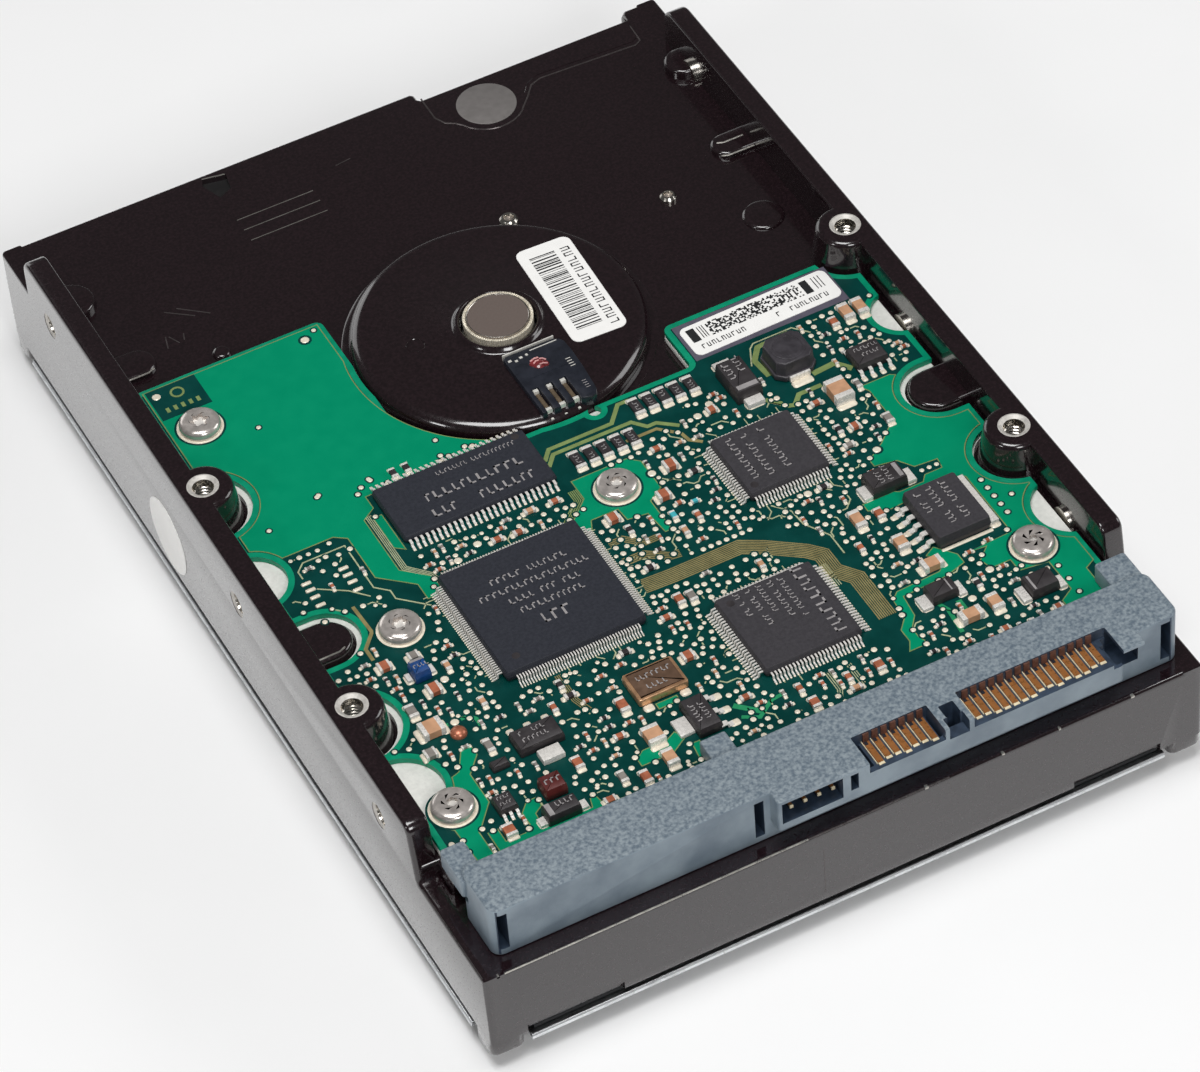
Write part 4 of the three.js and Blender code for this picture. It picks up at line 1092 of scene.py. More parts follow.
def on_board(x, y, clear=1.2):
    """Whether a point lies on the dark mask, away from the board's edges and the pours."""
    if not (BOARD_LEFT + clear < x < BOARD_RIGHT - clear and BAR_EDGE_Y < y < BOARD_BACK - clear):
        return False
    if any(math.hypot(x - cx, y - cy) < r + clear for cx, cy, r in NOTCHES):
        return False
    if math.hypot(x - SPINDLE[0], y - SPINDLE[1]) < DISC_R + 1 + clear:
        return False
    off = y - SIDE_NOTCH_Y
    notch_end = 44 - clear + math.sqrt(max(0, 22 - off ** 2)) * 0.8 - 2.6
    if abs(off) < SIDE_NOTCH_HALF + clear and abs(x) > notch_end:
        return False
    if x > 18.5 and y > 2.6 or -19.6 < x < 19 and y > 3 - clear or x < -19 and y > 4.6:
        return False
    return not any(inside(x, y, loop) for loop in POURS)


tin = Shape()            # solder and pads
copper = Shape()         # masked traces
TRACE_Z = SURFACE - 0.012


def trace(path, width, slot):
    strip(copper, path, width, SURFACE - 0.12, TRACE_Z, slot)


def via(x, y, radius, claim=True):
    """A tinned dot standing in a dark clearance."""
    clearance = radius * 1.6
    dot = above(SURFACE + 0.1, [(radius * 0.92, -0.03), (radius * 0.55, 0), (0, -0.01)])
    lathe(tin, (x, y), above(SURFACE, [(0, -0.2), (clearance, -0.2), (clearance, 0.01), (radius, 0.02)]) + dot,
          [1, 1, 1, 0, 0, 0], segments=10)
    if claim:
        reserve(*around(x, y, 2 * radius, 2 * radius), 0.12)


def pad(x, y, w, d, height=0.12):
    """A solder pad: a low pillow with rounded edges."""
    loop = rounded(*around(x, y, w, d), min(w, d) * 0.3, 2)
    prism(tin, loop, SURFACE - 0.1, SURFACE + height, high=min(w, d) * 0.25, steps=2)
    reserve(*around(x, y, w, d))


def gull_wing(shape, x, y, out, width, reach, height):
    """A bent lead from (x, y) on a package's side; out is the unit direction away from it."""
    ox, oy = out
    sx, sy = -oy, ox
    foot = SURFACE + 0.02
    knee = SURFACE + height
    thick = 0.13
    profile = [
        (-0.25, knee), (reach * 0.32, knee), (reach * 0.5, knee - 0.08), (reach * 0.58, foot + thick + 0.05),
        (reach * 0.66, foot + thick), (reach, foot + thick * 0.9), (reach, foot),
        (reach * 0.55, foot), (reach * 0.42, foot + 0.08), (reach * 0.36, knee - thick - 0.04),
        (reach * 0.28, knee - thick), (-0.25, knee - thick),
    ]
    rings = [[(x + ox * u + sx * s, y + oy * u + sy * s, z) for u, z in profile] for s in (-width / 2, width / 2)]
    start = shape.rings(rings, 0)
    count = len(profile)
    shape.face(range(start[0], start[0] + count), 0, True)
    shape.face(list(range(start[1], start[1] + count))[::-1], 0, True)
    px, py = x + ox * reach * 0.95, y + oy * reach * 0.95
    w, d = (reach * 0.4, width * 1.05) if abs(ox) > 0.5 else (width * 1.05, reach * 0.4)
    block(tin, *around(px, py, w, d), SURFACE - 0.1, SURFACE + 0.05, 0, edge=0.03)


RIGHT, LEFT, BACK, FRONT = (1, 0), (-1, 0), (0, 1), (0, -1)
ALL_SIDES = (LEFT, RIGHT, FRONT, BACK)


def lead_row(shape, low, high, out, count, pitch, width, reach, height):
    """A row of bent leads on the side of a package that faces the unit direction out."""
    axis = 0 if out[0] else 1
    edge = (high if out[axis] > 0 else low)[axis]
    middle = (low[1 - axis] + high[1 - axis]) / 2
    for k in range(count):
        along = middle + (k - (count - 1) / 2) * pitch
        gull_wing(shape, *((along, edge) if axis else (edge, along)), out, width, reach, height)
    depth = sorted((edge, edge + reach * out[axis]))
    run = (middle - count * pitch / 2, middle + count * pitch / 2)
    reserve(*((*run, *depth) if axis else (*depth, *run)))


def marks(shape, x, y, length, height, along, slot, z):
    """A row of short strokes in place of a line of print, running along x or y."""
    half = height / 2
    start, middle = (x, y) if along == "x" else (y, x)
    at = 0.0
    while at < length:
        stroke = dice.uniform(0.45, 0.75) * height
        if dice.random() < 0.88:
            upright = (start + at, start + at + stroke * 0.32, middle - half, middle + half)
            low_bar = dice.random() < 0.5
            bar = (middle - half, middle - half * 0.6) if low_bar else (middle + half * 0.6, middle + half)
            for a, b, c, d in (upright, (start + at, start + (at + stroke), *bar)):
                block(shape, *((a, b, c, d) if along == "x" else (c, d, a, b)), z - 0.05, z + 0.012, slot)
        at += stroke + height * 0.3


def package(name, node, leads, marking, dimple=None, extra=None, epoxy=EPOXY):
    """A moulded chip body with a parting waist, its leads and its rows of marks."""
    low, high = box_mm(node)
    body = Shape()
    x0, x1, y0, y1 = low[0], high[0], low[1], high[1]
    top = high[2]
    waist = low[2] + (top - low[2]) * 0.45
    loop = rounded(x0, x1, y0, y1, 0.5, 3)
    levels = ((0.22, low[2]), (0.0, waist - 0.05), (0.0, waist + 0.05), (0.2, top - 0.07), (0.27, top))
    rings = [[(x, y, z) for x, y in inset(loop, in_by)] for in_by, z in levels]
    starts = body.rings(rings, 0)
    body.face(list(range(starts[0], starts[0] + len(loop)))[::-1], 0, True)
    body.face(range(starts[-1], starts[-1] + len(loop)), 0, True)
    if dimple:
        spot = above(top, [(0, -0.2), (0.55, -0.2), (0.55, 0.004), (0.4, 0.004), (0, 0.002)])
        lathe(body, dimple, spot, 2, segments=24)
    for row in marking:
        marks(body, *row, 1, top)
    make(name, body, [epoxy, MARKING, EPOXY_DARK], replaces=[node])
    reserve(x0, x1, y0, y1, 0.2)
    metal = Shape()
    for side, count, pitch, width, reach in leads:
        lead_row(metal, low, high, side, count, pitch, width, reach, waist - SURFACE + 0.06)
    if extra:
        extra(metal)
    if metal.faces:
        make(name + "_leads", metal, [LEAD_TIN])


# Leads are side, count, pitch, width and reach; rows of marks are x, y, length, height and direction.
package("controller_body", "controller_chip", [(s, 44, 0.4, 0.17, 1.35) for s in ALL_SIDES], [
    (-22.5, -20.2, 10.5, 0.95, "x"), (-25, -22.3, 15.5, 0.95, "x"), (-21.8, -24.4, 9.8, 0.95, "x"),
    (-21.2, -26.4, 9.0, 0.95, "x"), (-19.4, -29.0, 4.2, 1.7, "x")], dimple=(-25.3, -33.0), epoxy=EPOXY_COOL)
package("memory_body", "memory_chip", [(s, 27, 0.8, 0.36, 1.35) for s in (FRONT, BACK)], [
    (-19.5, 1.4, 11.2, 0.7, "x"), (-22.6, -1.9, 14.2, 1.4, "x"), (-23.0, -4.9, 3.4, 1.4, "x"),
    (-16.2, -4.9, 8.0, 1.4, "x")], dimple=(-7.6, 2.2), epoxy=EPOXY_COOL)
package("motor_driver_body", "motor_driver_chip", [(s, 22, 0.5, 0.22, 1.15) for s in ALL_SIDES], [
    (15.8, -21.0, 7.8, 0.9, "y"), (17.9, -21.4, 8.2, 0.9, "y"), (20.4, -21.2, 8.2, 0.9, "y")], dimple=(14.9, -22.0))
package("interface_body", "interface_chip", [(s, 25, 0.52, 0.24, 1.3) for s in ALL_SIDES], [
    (12.1, -50.0, 12.0, 1.5, "y"), (9.6, -45.4, 7.4, 0.75, "y"), (8.1, -44.6, 6.6, 0.75, "y"),
    (6.6, -42.9, 5.0, 0.75, "y"), (5.0, -44.6, 6.6, 0.75, "y"), (3.4, -42, 4.0, 0.75, "y")], dimple=(2.2, -38.9))


def regulator_metal(shape):
    low, high = box_mm("regulator_chip")
    block(shape, high[0] - 0.3, high[0] + 1.2, low[1] + 0.4, high[1] - 0.1, SURFACE + 0.02, SURFACE + 1.0,
          edge=0.15)
    pad(high[0] + 0.7, (low[1] + high[1]) / 2, 2.0, high[1] - low[1] + 0.6, 0.06)
    pad((low[0] + high[0]) / 2 + 0.2, low[1] - 0.1, 7.6, 0.6, 0.06)
    for k in range(5):
        y = -35.0 - 1.68 * k
        gull_wing(shape, low[0], y, LEFT, 0.75, 1.6, 0.75)
        pad(low[0] - 1.9, y - 0.1, 1.1, 0.9, 0.1)


package("regulator_body", "regulator_chip", [], [
    (35.4, -41.4, 6.6, 0.9, "y"), (33.4, -41.4, 6.6, 0.9, "y"), (31.6, -38.4, 3.4, 0.9, "y")], extra=regulator_metal)


def build_inductor():
    low, high = box_mm("power_inductor")
    cx, cy = centre_of("power_inductor")
    h, c = (high[0] - low[0]) / 2, 1.1
    body = Shape()
    loop = [(cx + x, cy + y) for x, y in (
        (-h + c, -h), (h - c, -h), (h, -h + c), (h, h - c), (h - c, h), (-h + c, h), (-h, h - c), (-h, -h + c))]
    prism(body, loop, low[2], low[2] + 0.8, 0, high=0.15, low=0.1)
    prism(body, inset(loop, 0.25), low[2] + 0.7, high[2] - 0.1, 0, high=0.2, taper=0.1)
    groove = above(high[2], [(0, -0.6), (2.35, -0.6), (2.35, -0.05), (2.2, 0), (2.05, -0.02), (1.95, -0.2),
                             (1.75, -0.22), (1.65, -0.08), (0, -0.04)])
    lathe(body, (cx, cy), groove, segments=40)
    make("inductor_core", body, [FERRITE], replaces=["power_inductor"])
    reserve(low[0], high[0], low[1], high[1])
    ends = Shape()
    for y0, y1 in ((low[1] - 0.35, low[1]), (high[1], high[1] + 0.35)):
        block(ends, cx - 1.5, cx + 1.5, y0, y1, SURFACE + 0.05, SURFACE + 1.0, 0, edge=0.12)
    make("inductor_ends", ends, [LEAD_TIN])
    for sy in (-1, 1):
        pad(cx, cy + sy * (h + 0.9), 3.2, 1.4, 0.16)


build_inductor()


def build_crystal():
    low, high = box_mm("clock_crystal")
    can = Shape()
    loop = rounded(low[0], high[0], low[1], high[1], 0.35, 3)
    prism(can, loop, low[2], high[2] - 0.12, 1, high=0.12, low=0.1)
    prism(can, inset(loop, 0.45), high[2] - 0.3, high[2], 0, high=0.06)
    for y in (-44.1, -45.9):
        marks(can, low[0] + 1.3, y, 4.4, 0.8, "x", 2, high[2])
    make("crystal_case", can, [CRYSTAL_TOP, CRYSTAL_EDGE, MARKING], replaces=["clock_crystal"])
    reserve(low[0], high[0], low[1], high[1])
    for x in (-14.4, -9.2):
        pad(x, low[1] - 0.5, 1.5, 1.3, 0.18)
        pad(x, high[1] + 0.3, 1.5, 0.8, 0.14)


build_crystal()

passives = Shape()
PASSIVE_FINISHES = [LEAD_TIN, CERAMIC_TAN, CERAMIC_BROWN, CERAMIC_GREY, EPOXY_DARK, CYAN_PART, BLUE_PART,
                    MAROON_PART, MARKING, COPPER_DOT]
TAN, BROWN, GREY, BLACK, CYAN, BLUE, MAROON, PRINT, COPPER = range(1, 10)


def passive(x, y, length, width, height, upright, slot, end=0.22):
    """A two-ended chip part with tinned end caps and a pad under each end."""
    lx, ly = (width, length) if upright else (length, width)
    cap = length * end
    base = SURFACE + 0.06
    top = base + height
    shrink = 0.03
    x0, x1, y0, y1 = around(x, y, lx, ly)
    in_x, in_y = (shrink, cap * 0.8) if upright else (cap * 0.8, shrink)
    block(passives, x0 + in_x, x1 - in_x, y0 + in_y, y1 - in_y, base, top - shrink, slot, edge=0.05)
    for sign in (-1, 1):
        if upright:
            span = sorted((y + sign * ly / 2, y + sign * (ly / 2 - cap)))
            block(passives, x0, x1, *span, base, top, 0, edge=0.08, steps=2)
            pad(x, y + sign * (ly / 2 + 0.12), lx * 1.1, max(0.5, cap * 1.7))
        else:
            span = sorted((x + sign * lx / 2, x + sign * (lx / 2 - cap)))
            block(passives, *span, y0, y1, base, top, 0, edge=0.08, steps=2)
            pad(x + sign * (lx / 2 + 0.12), y, max(0.5, cap * 1.7), ly * 1.1)
    reserve(x0, x1, y0, y1)


# Two-ended parts that stand where the photograph has them: x, y, length, width, height, upright, family.
PLACED = [
    (33.0, -12.0, 3.8, 2.7, 1.6, 1, TAN), (41.3, 1.0, 2.9, 1.5, 0.8, 1, TAN),
    (43.4, 1.0, 2.9, 1.5, 0.8, 1, TAN), (39.0, 0.2, 1.7, 1.1, 0.6, 1, BROWN),
    (26.4, -39.8, 2.4, 1.6, 1.0, 1, TAN), (27.9, -45.1, 2.8, 1.7, 1.1, 0, TAN),
    (27.7, -55.3, 3.1, 1.7, 1.1, 0, TAN), (31.5, -54.8, 2.6, 1.6, 0.9, 1, TAN),
    (23.7, -33.3, 3.0, 1.5, 0.8, 1, TAN), (26.7, -33.7, 1.8, 1.1, 0.6, 1, BROWN),
    (-16.3, -52.8, 2.9, 2.3, 1.1, 1, TAN), (-16.2, -57.0, 2.6, 1.6, 0.9, 1, TAN),
    (-39.6, -37.7, 3.0, 2.4, 1.2, 0, TAN), (-40.0, -25.0, 1.7, 1.5, 0.7, 0, BROWN),
    (-36.3, -31.7, 1.8, 1.8, 0.8, 0, BROWN), (-40.4, -33.6, 2.2, 1.3, 0.6, 1, GREY),
    (-41.5, -41.2, 1.6, 1.5, 0.7, 0, GREY), (-3.2, -16.9, 1.8, 1.5, 0.8, 0, BROWN),
    (4.4, -16.6, 1.8, 1.5, 0.9, 0, BROWN), (7.7, -12.2, 1.8, 1.6, 0.9, 0, BROWN),
    (-2.5, -33.8, 1.9, 1.1, 0.6, 1, BROWN), (-0.9, -34.1, 1.9, 1.1, 0.6, 1, GREY),
    (-6.2, -43.0, 1.7, 1.4, 0.7, 0, BROWN), (-17.2, -46.2, 2.4, 1.3, 0.7, 1, BROWN),
    (-26.4, -51.8, 2.0, 1.2, 0.6, 1, BROWN), (-38.7, -57.4, 2.0, 1.5, 0.7, 1, BROWN),
    (-20.2, -58.2, 2.2, 1.2, 0.6, 1, BROWN), (-22.7, -56.7, 1.9, 1.0, 0.6, 1, GREY),
    (-25.7, -59.2, 1.6, 1.0, 0.5, 0, BROWN), (13.7, -56.6, 1.9, 1.2, 0.6, 1, BROWN),
    (3.7, -58.0, 1.8, 1.2, 0.6, 1, BROWN), (31.8, -18.2, 1.3, 1.1, 0.6, 0, BROWN),
    (17.2, -5.9, 1.4, 1.1, 0.6, 0, BROWN), (36.3, -19.2, 1.8, 1.1, 0.6, 1, GREY),
    (3.9, -20.3, 1.5, 0.8, 0.45, 1, CYAN), (7.5, -19.4, 1.1, 0.6, 0.4, 0, CYAN),
    (-34.6, -43.6, 2.2, 1.0, 0.5, 1, GREY), (30.4, -59.3, 1.2, 0.9, 0.5, 0, BROWN),
    (38.0, -59.4, 1.2, 0.9, 0.5, 0, BROWN), (5.6, -18.6, 1.0, 0.6, 0.4, 0, BROWN),
    (-36.0, -25.2, 1.5, 1.3, 0.6, 0, GREY),
]
for values in PLACED:
    passive(*values)
for x in (-23.9, -22.0):
    passive(x, 5.3, 1.6, 0.9, 0.45, True, BLACK)
for x, y in ((-29.5, 4.4), (-28.6, 5.3), (-27.0, 5.9), (-29.3, -0.4), (-17.1, 5.2), (-16.2, 4.6), (-17.6, 4.3),
             (-13.6, 5.1), (-12.7, 4.7), (-34.3, 6.7), (-25.2, 4.3)):
    via(x, y, 0.36)
for row, y in (((9.0, 11.0, 13.0, 15.0, 17.1), -0.3), ((-2.2, -0.2, 1.8, 3.9, 5.9), -5.0)):
    for x in row:
        passive(x, y, 3.1, 1.45, 0.5, True, BLACK, end=0.16)
        marks(passives, x, y - 0.8, 1.5, 0.6, "y", PRINT, SURFACE + 0.53)


def moulded(x, y, w, d, height, slot, band, lines, terminals):
    """A moulded block part with sloping sides, a polarity band, marks and flat tin terminals on pads."""
    base = SURFACE + 0.05
    loop = rounded(*around(x, y, w, d), 0.15, 2)
    prism(passives, loop, base, base + height * 0.5, slot, low=0.05, steps=2)
    prism(passives, loop, base + height * 0.5, base + height, slot, high=0.1, taper=0.14, steps=2)
    if band:
        block(passives, *band, base + height - 0.1, base + height + 0.012, PRINT)
    for line in lines:
        marks(passives, *line, PRINT, base + height)
    reserve(*around(x, y, w, d))
    for tx, ty, tw, td, rise in terminals:
        block(passives, *around(tx, ty, tw, td), SURFACE + 0.04, SURFACE + rise, 0, edge=0.1, steps=2)
        pad(tx, ty, tw + 0.5, td + 0.5, 0.1)


# Moulded parts: x, y, width, depth, height, family, then the band's sides, the rows of marks (x, y, length,
# height, direction) and the terminals (x, y, width, depth, height).
MOULDED = [
    (22.6, -3.6, 3.8, 6.4, 2.2, BLACK, (21.1, 24.1, -6.4, -5.6),
     [(21.7, -4.1, 2.6, 0.9, "y"), (23.4, -4.1, 3.2, 0.9, "y")],
     [(22.8, -7.5, 2.5, 1.4, 0.8), (22.4, 0.9, 2.5, 1.0, 0.5)]),
    (30.0, -29.3, 5.2, 3.4, 1.9, BLACK, (31.6, 32.2, -30.6, -28),
     [(29.2, -30.5, 2.6, 0.7, "y"), (30.4, -30.5, 2.6, 0.7, "y")],
     [(26.9, -29.7, 1.4, 2.4, 0.6), (33.2, -29.7, 1.4, 2.4, 0.6)]),
    (26.5, -49.9, 3.9, 2.7, 1.5, BLACK, (27.4, 27.6, -51, -48.9), [],
     [(23.8, -50.3, 1.5, 2.4, 0.5), (28.9, -50.3, 1.1, 2.4, 0.5)]),
    (37.9, -55.2, 4.0, 3.2, 1.6, BLACK, (36.4, 36.7, -56.5, -54), [],
     [(35.2, -55.5, 1.2, 2.6, 0.6), (40.4, -55.9, 1.0, 2.0, 0.6)]),
    (39.5, -7.9, 4.6, 3.8, 1.4, BLACK, None, [(38, -7.0, 3.2, 0.6, "x"), (38, -8.2, 3.2, 0.6, "x")], []),
    (-28.9, -45.6, 6.2, 3.6, 1.4, BLACK, None, [(-31, -44.8, 3.4, 0.7, "x"), (-31, -46, 3.4, 0.7, "x")],
     [(-28.6, -48.9, 3.0, 2.0, 0.9)]),
    (-31.0, -54.0, 3.0, 2.8, 1.8, MAROON, None, [(-32, -53.9, 2.0, 0.8, "x")], []),
    (-31.8, -58.0, 4.6, 2.4, 1.7, BLACK, (-33.8, -33.1, -59, -57), [(-32.4, -57.6, 2.4, 0.8, "x")],
     [(-34.6, -58.2, 1.0, 1.4, 0.5), (-28.9, -58.2, 1.0, 1.4, 0.5)]),
    (-36.6, -28.3, 2.3, 2.6, 1.8, BLUE, (-37.5, -35.7, -27.5, -27.1), [(-37.4, -28.3, 1.6, 0.6, "x")],
     [(-38.2, -28.3, 0.7, 1.4, 0.5), (-35.0, -28.3, 0.7, 1.4, 0.5)]),
    (-37.3, -53.4, 2.6, 2.8, 1.2, BLACK, None, [(-38.1, -52.8, 1.6, 0.5, "x"), (-38.1, -53.8, 1.6, 0.5, "x")],
     []),
    (-9.7, -53.0, 3.3, 5.8, 1.5, BLACK, None, [(-10.4, -54.4, 2.6, 0.7, "y"), (-9.2, -54.4, 2.6, 0.7, "y")],
     [(-12.4, -53.2, 2.0, 2.9, 0.5)]),
    (-34.9, -47.2, 2.4, 1.4, 0.9, BLACK, None, [], []),
]
for values in MOULDED:
    moulded(*values)
for y in (-50.6, -53.1, -55.6):
    gull_wing(passives, -8.05, y, RIGHT, 0.8, 1.5, 0.7)
    pad(-6.3, y, 1.5, 1.2)
for x in (37.4, 38.8, 40.2, 41.6):
    gull_wing(passives, x, -9.8, FRONT, 0.5, 1.1, 0.6)
    gull_wing(passives, x, -6.0, BACK, 0.5, 1.1, 0.6)
    pad(x, -11.0, 0.8, 1.0)
for x in (-31.2, -28.8, -26.3):
    gull_wing(passives, x, -43.8, BACK, 0.6, 1.1, 0.7)
    pad(x, -42.7, 1.1, 1.0)
for x in (-38.2, -37.3, -36.4):
    gull_wing(passives, x, -54.8, FRONT, 0.4, 0.9, 0.5)
    gull_wing(passives, x, -52.0, BACK, 0.4, 0.9, 0.5)
dome = above(SURFACE, [(0, -0.1), (1.1, -0.1), (1.1, 0.1), (0.95, 0.45), (0.6, 0.7), (0, 0.8)])
lathe(passives, (-36.8, -39.6), dome, COPPER, segments=28)
reserve(-38, -35.6, -40.8, -38.4)
for x in (-42.2, -36.9):
    for y in (-6.6, -7.9, -9.3, -10.9):
        pad(x, y, 1.4, 0.55, 0.16)
for k in range(5):
    via(41.1, -34.9 - 1.68 * k, 0.36)
for x, y in ((35.4, -29.5), (36.5, -29.5), (37.6, -29.5), (41.8, -53.1), (41.8, -55.7), (41.8, -58.3), (37.8, -50.7),
             (43.2, -39.1), (45.7, 2.5), (-42.3, 4.4), (-34, 6.9), (-35.4, 22.3), (-27.1, 6.2), (-16.4, 8.1),
             (-21.2, 35.2), (-28.3, -15.5), (-5.5, -13.1), (-39.7, -2), (-38.4, -2), (-44.7, -11), (-44.6, -24.5),
             (-45.1, -38.3)):
    via(x, y, 0.34)
for x, y in ((-44.7, 34.5), (-23, 34.1)):
    via(x, y, 0.6)

# Wide and long traces: path, width, finish.
TRACES = [
    ([(-5.8, -2.8), (-4.4, -1.1), (4.9, -1.1), (7.2, 1.6), (9, 1.6)], 0.6, 0),
    ([(-5.8, -4.0), (-4.3, -2.2), (7.2, -2.2), (8.7, -4), (10, -4), (12.4, -6)], 0.6, 0),
    ([(-38.8, -13.3), (-38.6, -18.5), (-40.6, -20.8), (-40.6, -23)], 0.5, 1),
    ([(-42.2, -5.6), (-42.2, -4.2), (-41, -3), (-35.0, -3), (-35, -11.6), (-33.4, -13.2), (-33.4, -14.8),
      (-30, -18.2)], 0.2, 2),
    ([(-41.4, -8.1), (-38, -10.5), (-36, -12.8)], 0.2, 2),
    ([(25.8, -1.2), (27.2, 1.8), (28, 2.5), (33.8, 2.5), (35.6, 0.4)], 0.2, 2),
    ([(26.9, -4), (26.6, -0.5), (28.2, 1.6), (33, 1.9)], 0.8, 0),
    ([(32, -6.6), (35.4, -6.3), (37, -8.4)], 0.9, 0),
    ([(24.3, -7.7), (25.7, -9.2), (25.9, -10), (27.2, -10.5), (28.6, -9), (32, -9)], 0.7, 0),
    ([(-38.4, -37.6), (-34.5, -37.6), (-33.8, -38.5), (-33.8, -39.8)], 0.55, 3),
    ([(-5.2, -53), (-2.6, -55.6)], 0.8, 3),
    ([(-5.2, -55.2), (-3.2, -56.4), (-0.6, -54.6), (1.2, -54.4)], 0.55, 3),
    ([(5, -5), (9.5, -5), (11.9, -7.4), (12.2, -9), (13.6, -10.2)], 0.5, 1),
    ([(24.6, -49.0), (26.0, -52.5), (25.6, -56.8)], 0.6, 3),
    ([(27.9, -51.8), (27.9, -53.6)], 0.8, 3),
    ([(15.6, -25), (17.4, -27.2), (17.6, -30), (19.6, -33.5), (19.6, -37.2)], 0.2, 2),
]
for values in TRACES:
    trace(*values)


def bundle(path, lines, pitch, width, slot):
    """Parallel traces that follow one path."""
    for k in range(lines):
        offset = (k - (lines - 1) / 2) * pitch
        left, right = path_sides(path, abs(offset))
        trace(left if offset >= 0 else right, width, slot)


# Bundles: path, number of lines, pitch, width, finish.
BUNDLES = [
    ([(-5.3, -29.2), (-1.2, -29.4), (8.6, -29.4), (11.2, -31.0), (15.6, -34.4), (17.0, -36.0), (17.0, -39.2),
      (18.9, -41.8), (18.9, -49.6)], 9, 0.29, 0.17, 1),
    ([(-5.6, -24.2), (-2.6, -24.2), (0.2, -26.2), (1.6, -26.4)], 5, 0.3, 0.17, 1),
    ([(-5.6, -20.4), (-3.6, -20.4), (-1.6, -22.4), (0.4, -22.4)], 4, 0.3, 0.17, 1),
    ([(-30.1, 0.2), (-30.1, -10.6), (-27.6, -13.4), (-27.2, -15.0)], 4, 0.24, 0.12, 2),
    ([(16.0, -37.5), (16.0, -41.8)], 5, 0.3, 0.12, 2),
    ([(-21.7, -37.2), (-21.7, -42), (-20.9, -44.6)], 4, 0.26, 0.12, 1),
    ([(-5.3, -9.4), (-5.3, -11.4), (-8.9, -14.8)], 5, 0.26, 0.14, 0),
    ([(7.6, -54.2), (7.6, -57.4), (7.0, -58.6)], 3, 0.3, 0.14, 2),
    ([(10.6, -54.2), (10.6, -58)], 3, 0.3, 0.14, 2),
]
for values in BUNDLES:
    bundle(*values)
for sides in ((-5, 13, -31, -28), (16, 20.2, -50, -36), (12, 17.5, -37, -31), (-31, -29.6, -11, 0),
              (-4.6, 7.8, -3, -0.4)):
    reserve(*sides, margin=0.0)
for k in range(7):
    via(4.4 + 1.13 * k, -27.4, 0.38)
for x, y in BOARD_SCREWS:
    reserve(*around(x, y, 6.8, 6.8))


def short_trace(x, y, length):
    """A short trace from a via, with 45-degree bends; returns its end."""
    a = dice.choice(range(0, 360, 45))
    path = [(x, y)]
    left = length
    while left > 0.2:
        step = min(left, dice.uniform(0.6, 1.8))
        nx = path[-1][0] + step * math.cos(math.radians(a))
        ny = path[-1][1] + step * math.sin(math.radians(a))
        if not on_board(nx, ny) or not is_free(nx, nx, ny, ny):
            break
        path.append((nx, ny))
        left -= step
        a += dice.choice((-45, 45))
    if len(path) > 1:
        trace(path, 0.19, 2)
        for x0, y0 in path[1:]:
            reserve(x0, x0, y0, y0, 0.12)
    return path[-1]


# Small parts and vias strewn over the busy areas: x0, x1, y0, y1, parts, vias.
FIELDS = [
    (-35, -29.6, -60.5, -19, 10, 44), (-28.6, -6.8, -60.8, -37.6, 26, 120), (-5.8, 1.2, -27, -17, 6, 26),
    (-5.8, -1.2, -40, -31.4, 4, 14), (1, 13.4, -26, -6, 14, 44), (-5, 14.6, -36.8, -31.2, 2, 34),
    (-6, -0.8, -61, -40, 8, 30), (0, 16, -61, -53.6, 14, 34), (15.6, 30, -34, -24, 7, 40),
    (20.4, 30, -61, -34, 14, 60), (-28, -6.2, -14.4, -9.6, 14, 52), (26, 36.4, -25, -9.4, 10, 30),
    (-46, -36, -46, -20.6, 12, 36), (31, 41, -61, -44, 12, 30), (34.6, 45, -12, 3, 8, 20),
    (-30.4, -5.4, 3.9, 5.6, 5, 10), (-44, -34.6, -14.6, -1.6, 3, 14), (12, 26, -9.6, -2.4, 4, 14),
    (-46.5, -36, -61, -46, 6, 14),
]


def strew_parts(x0, x1, y0, y1, parts):
    """Small parts at free places drawn by lot."""
    tries = 0
    while parts and tries < 400:
        tries += 1
        x, y = dice.uniform(x0, x1), dice.uniform(y0, y1)
        length, width = dice.choice(((1.0, 0.5), (1.0, 0.5), (1.6, 0.8)))
        upright = dice.random() < 0.55
        lx, ly = (width, length + 0.7) if upright else (length + 0.7, width)
        if not is_free(*around(x, y, lx, ly)):
            continue
        if not all(on_board(x + sx * lx / 2, y + sy * ly / 2, 1.0) for sx in (-1, 1) for sy in (-1, 1)):
            continue
        family = dice.choice((BROWN, BROWN, BLACK, GREY, TAN))
        passive(x, y, length, width, 0.38 if width < 0.6 else 0.5, upright, family, end=0.26)
        parts -= 1


def strew_vias(x0, x1, y0, y1, vias):
    """Vias at free places drawn by lot, most of them with a short trace."""
    tries = 0
    while vias and tries < 900:
        tries += 1
        x, y = dice.uniform(x0, x1), dice.uniform(y0, y1)
        if not is_free(x, x, y, y, 0.4) or not on_board(x, y, 1.1):
            continue
        via(x, y, dice.choice((0.38, 0.42, 0.56) if tries % 9 == 0 else (0.36, 0.38, 0.4)))
        vias -= 1
        if dice.random() < 0.85:
            ex, ey = short_trace(x, y, dice.uniform(1.2, 5.0))
            if math.hypot(ex - x, ey - y) > 1.0 and dice.random() < 0.6:
                via(ex, ey, 0.3, claim=False)


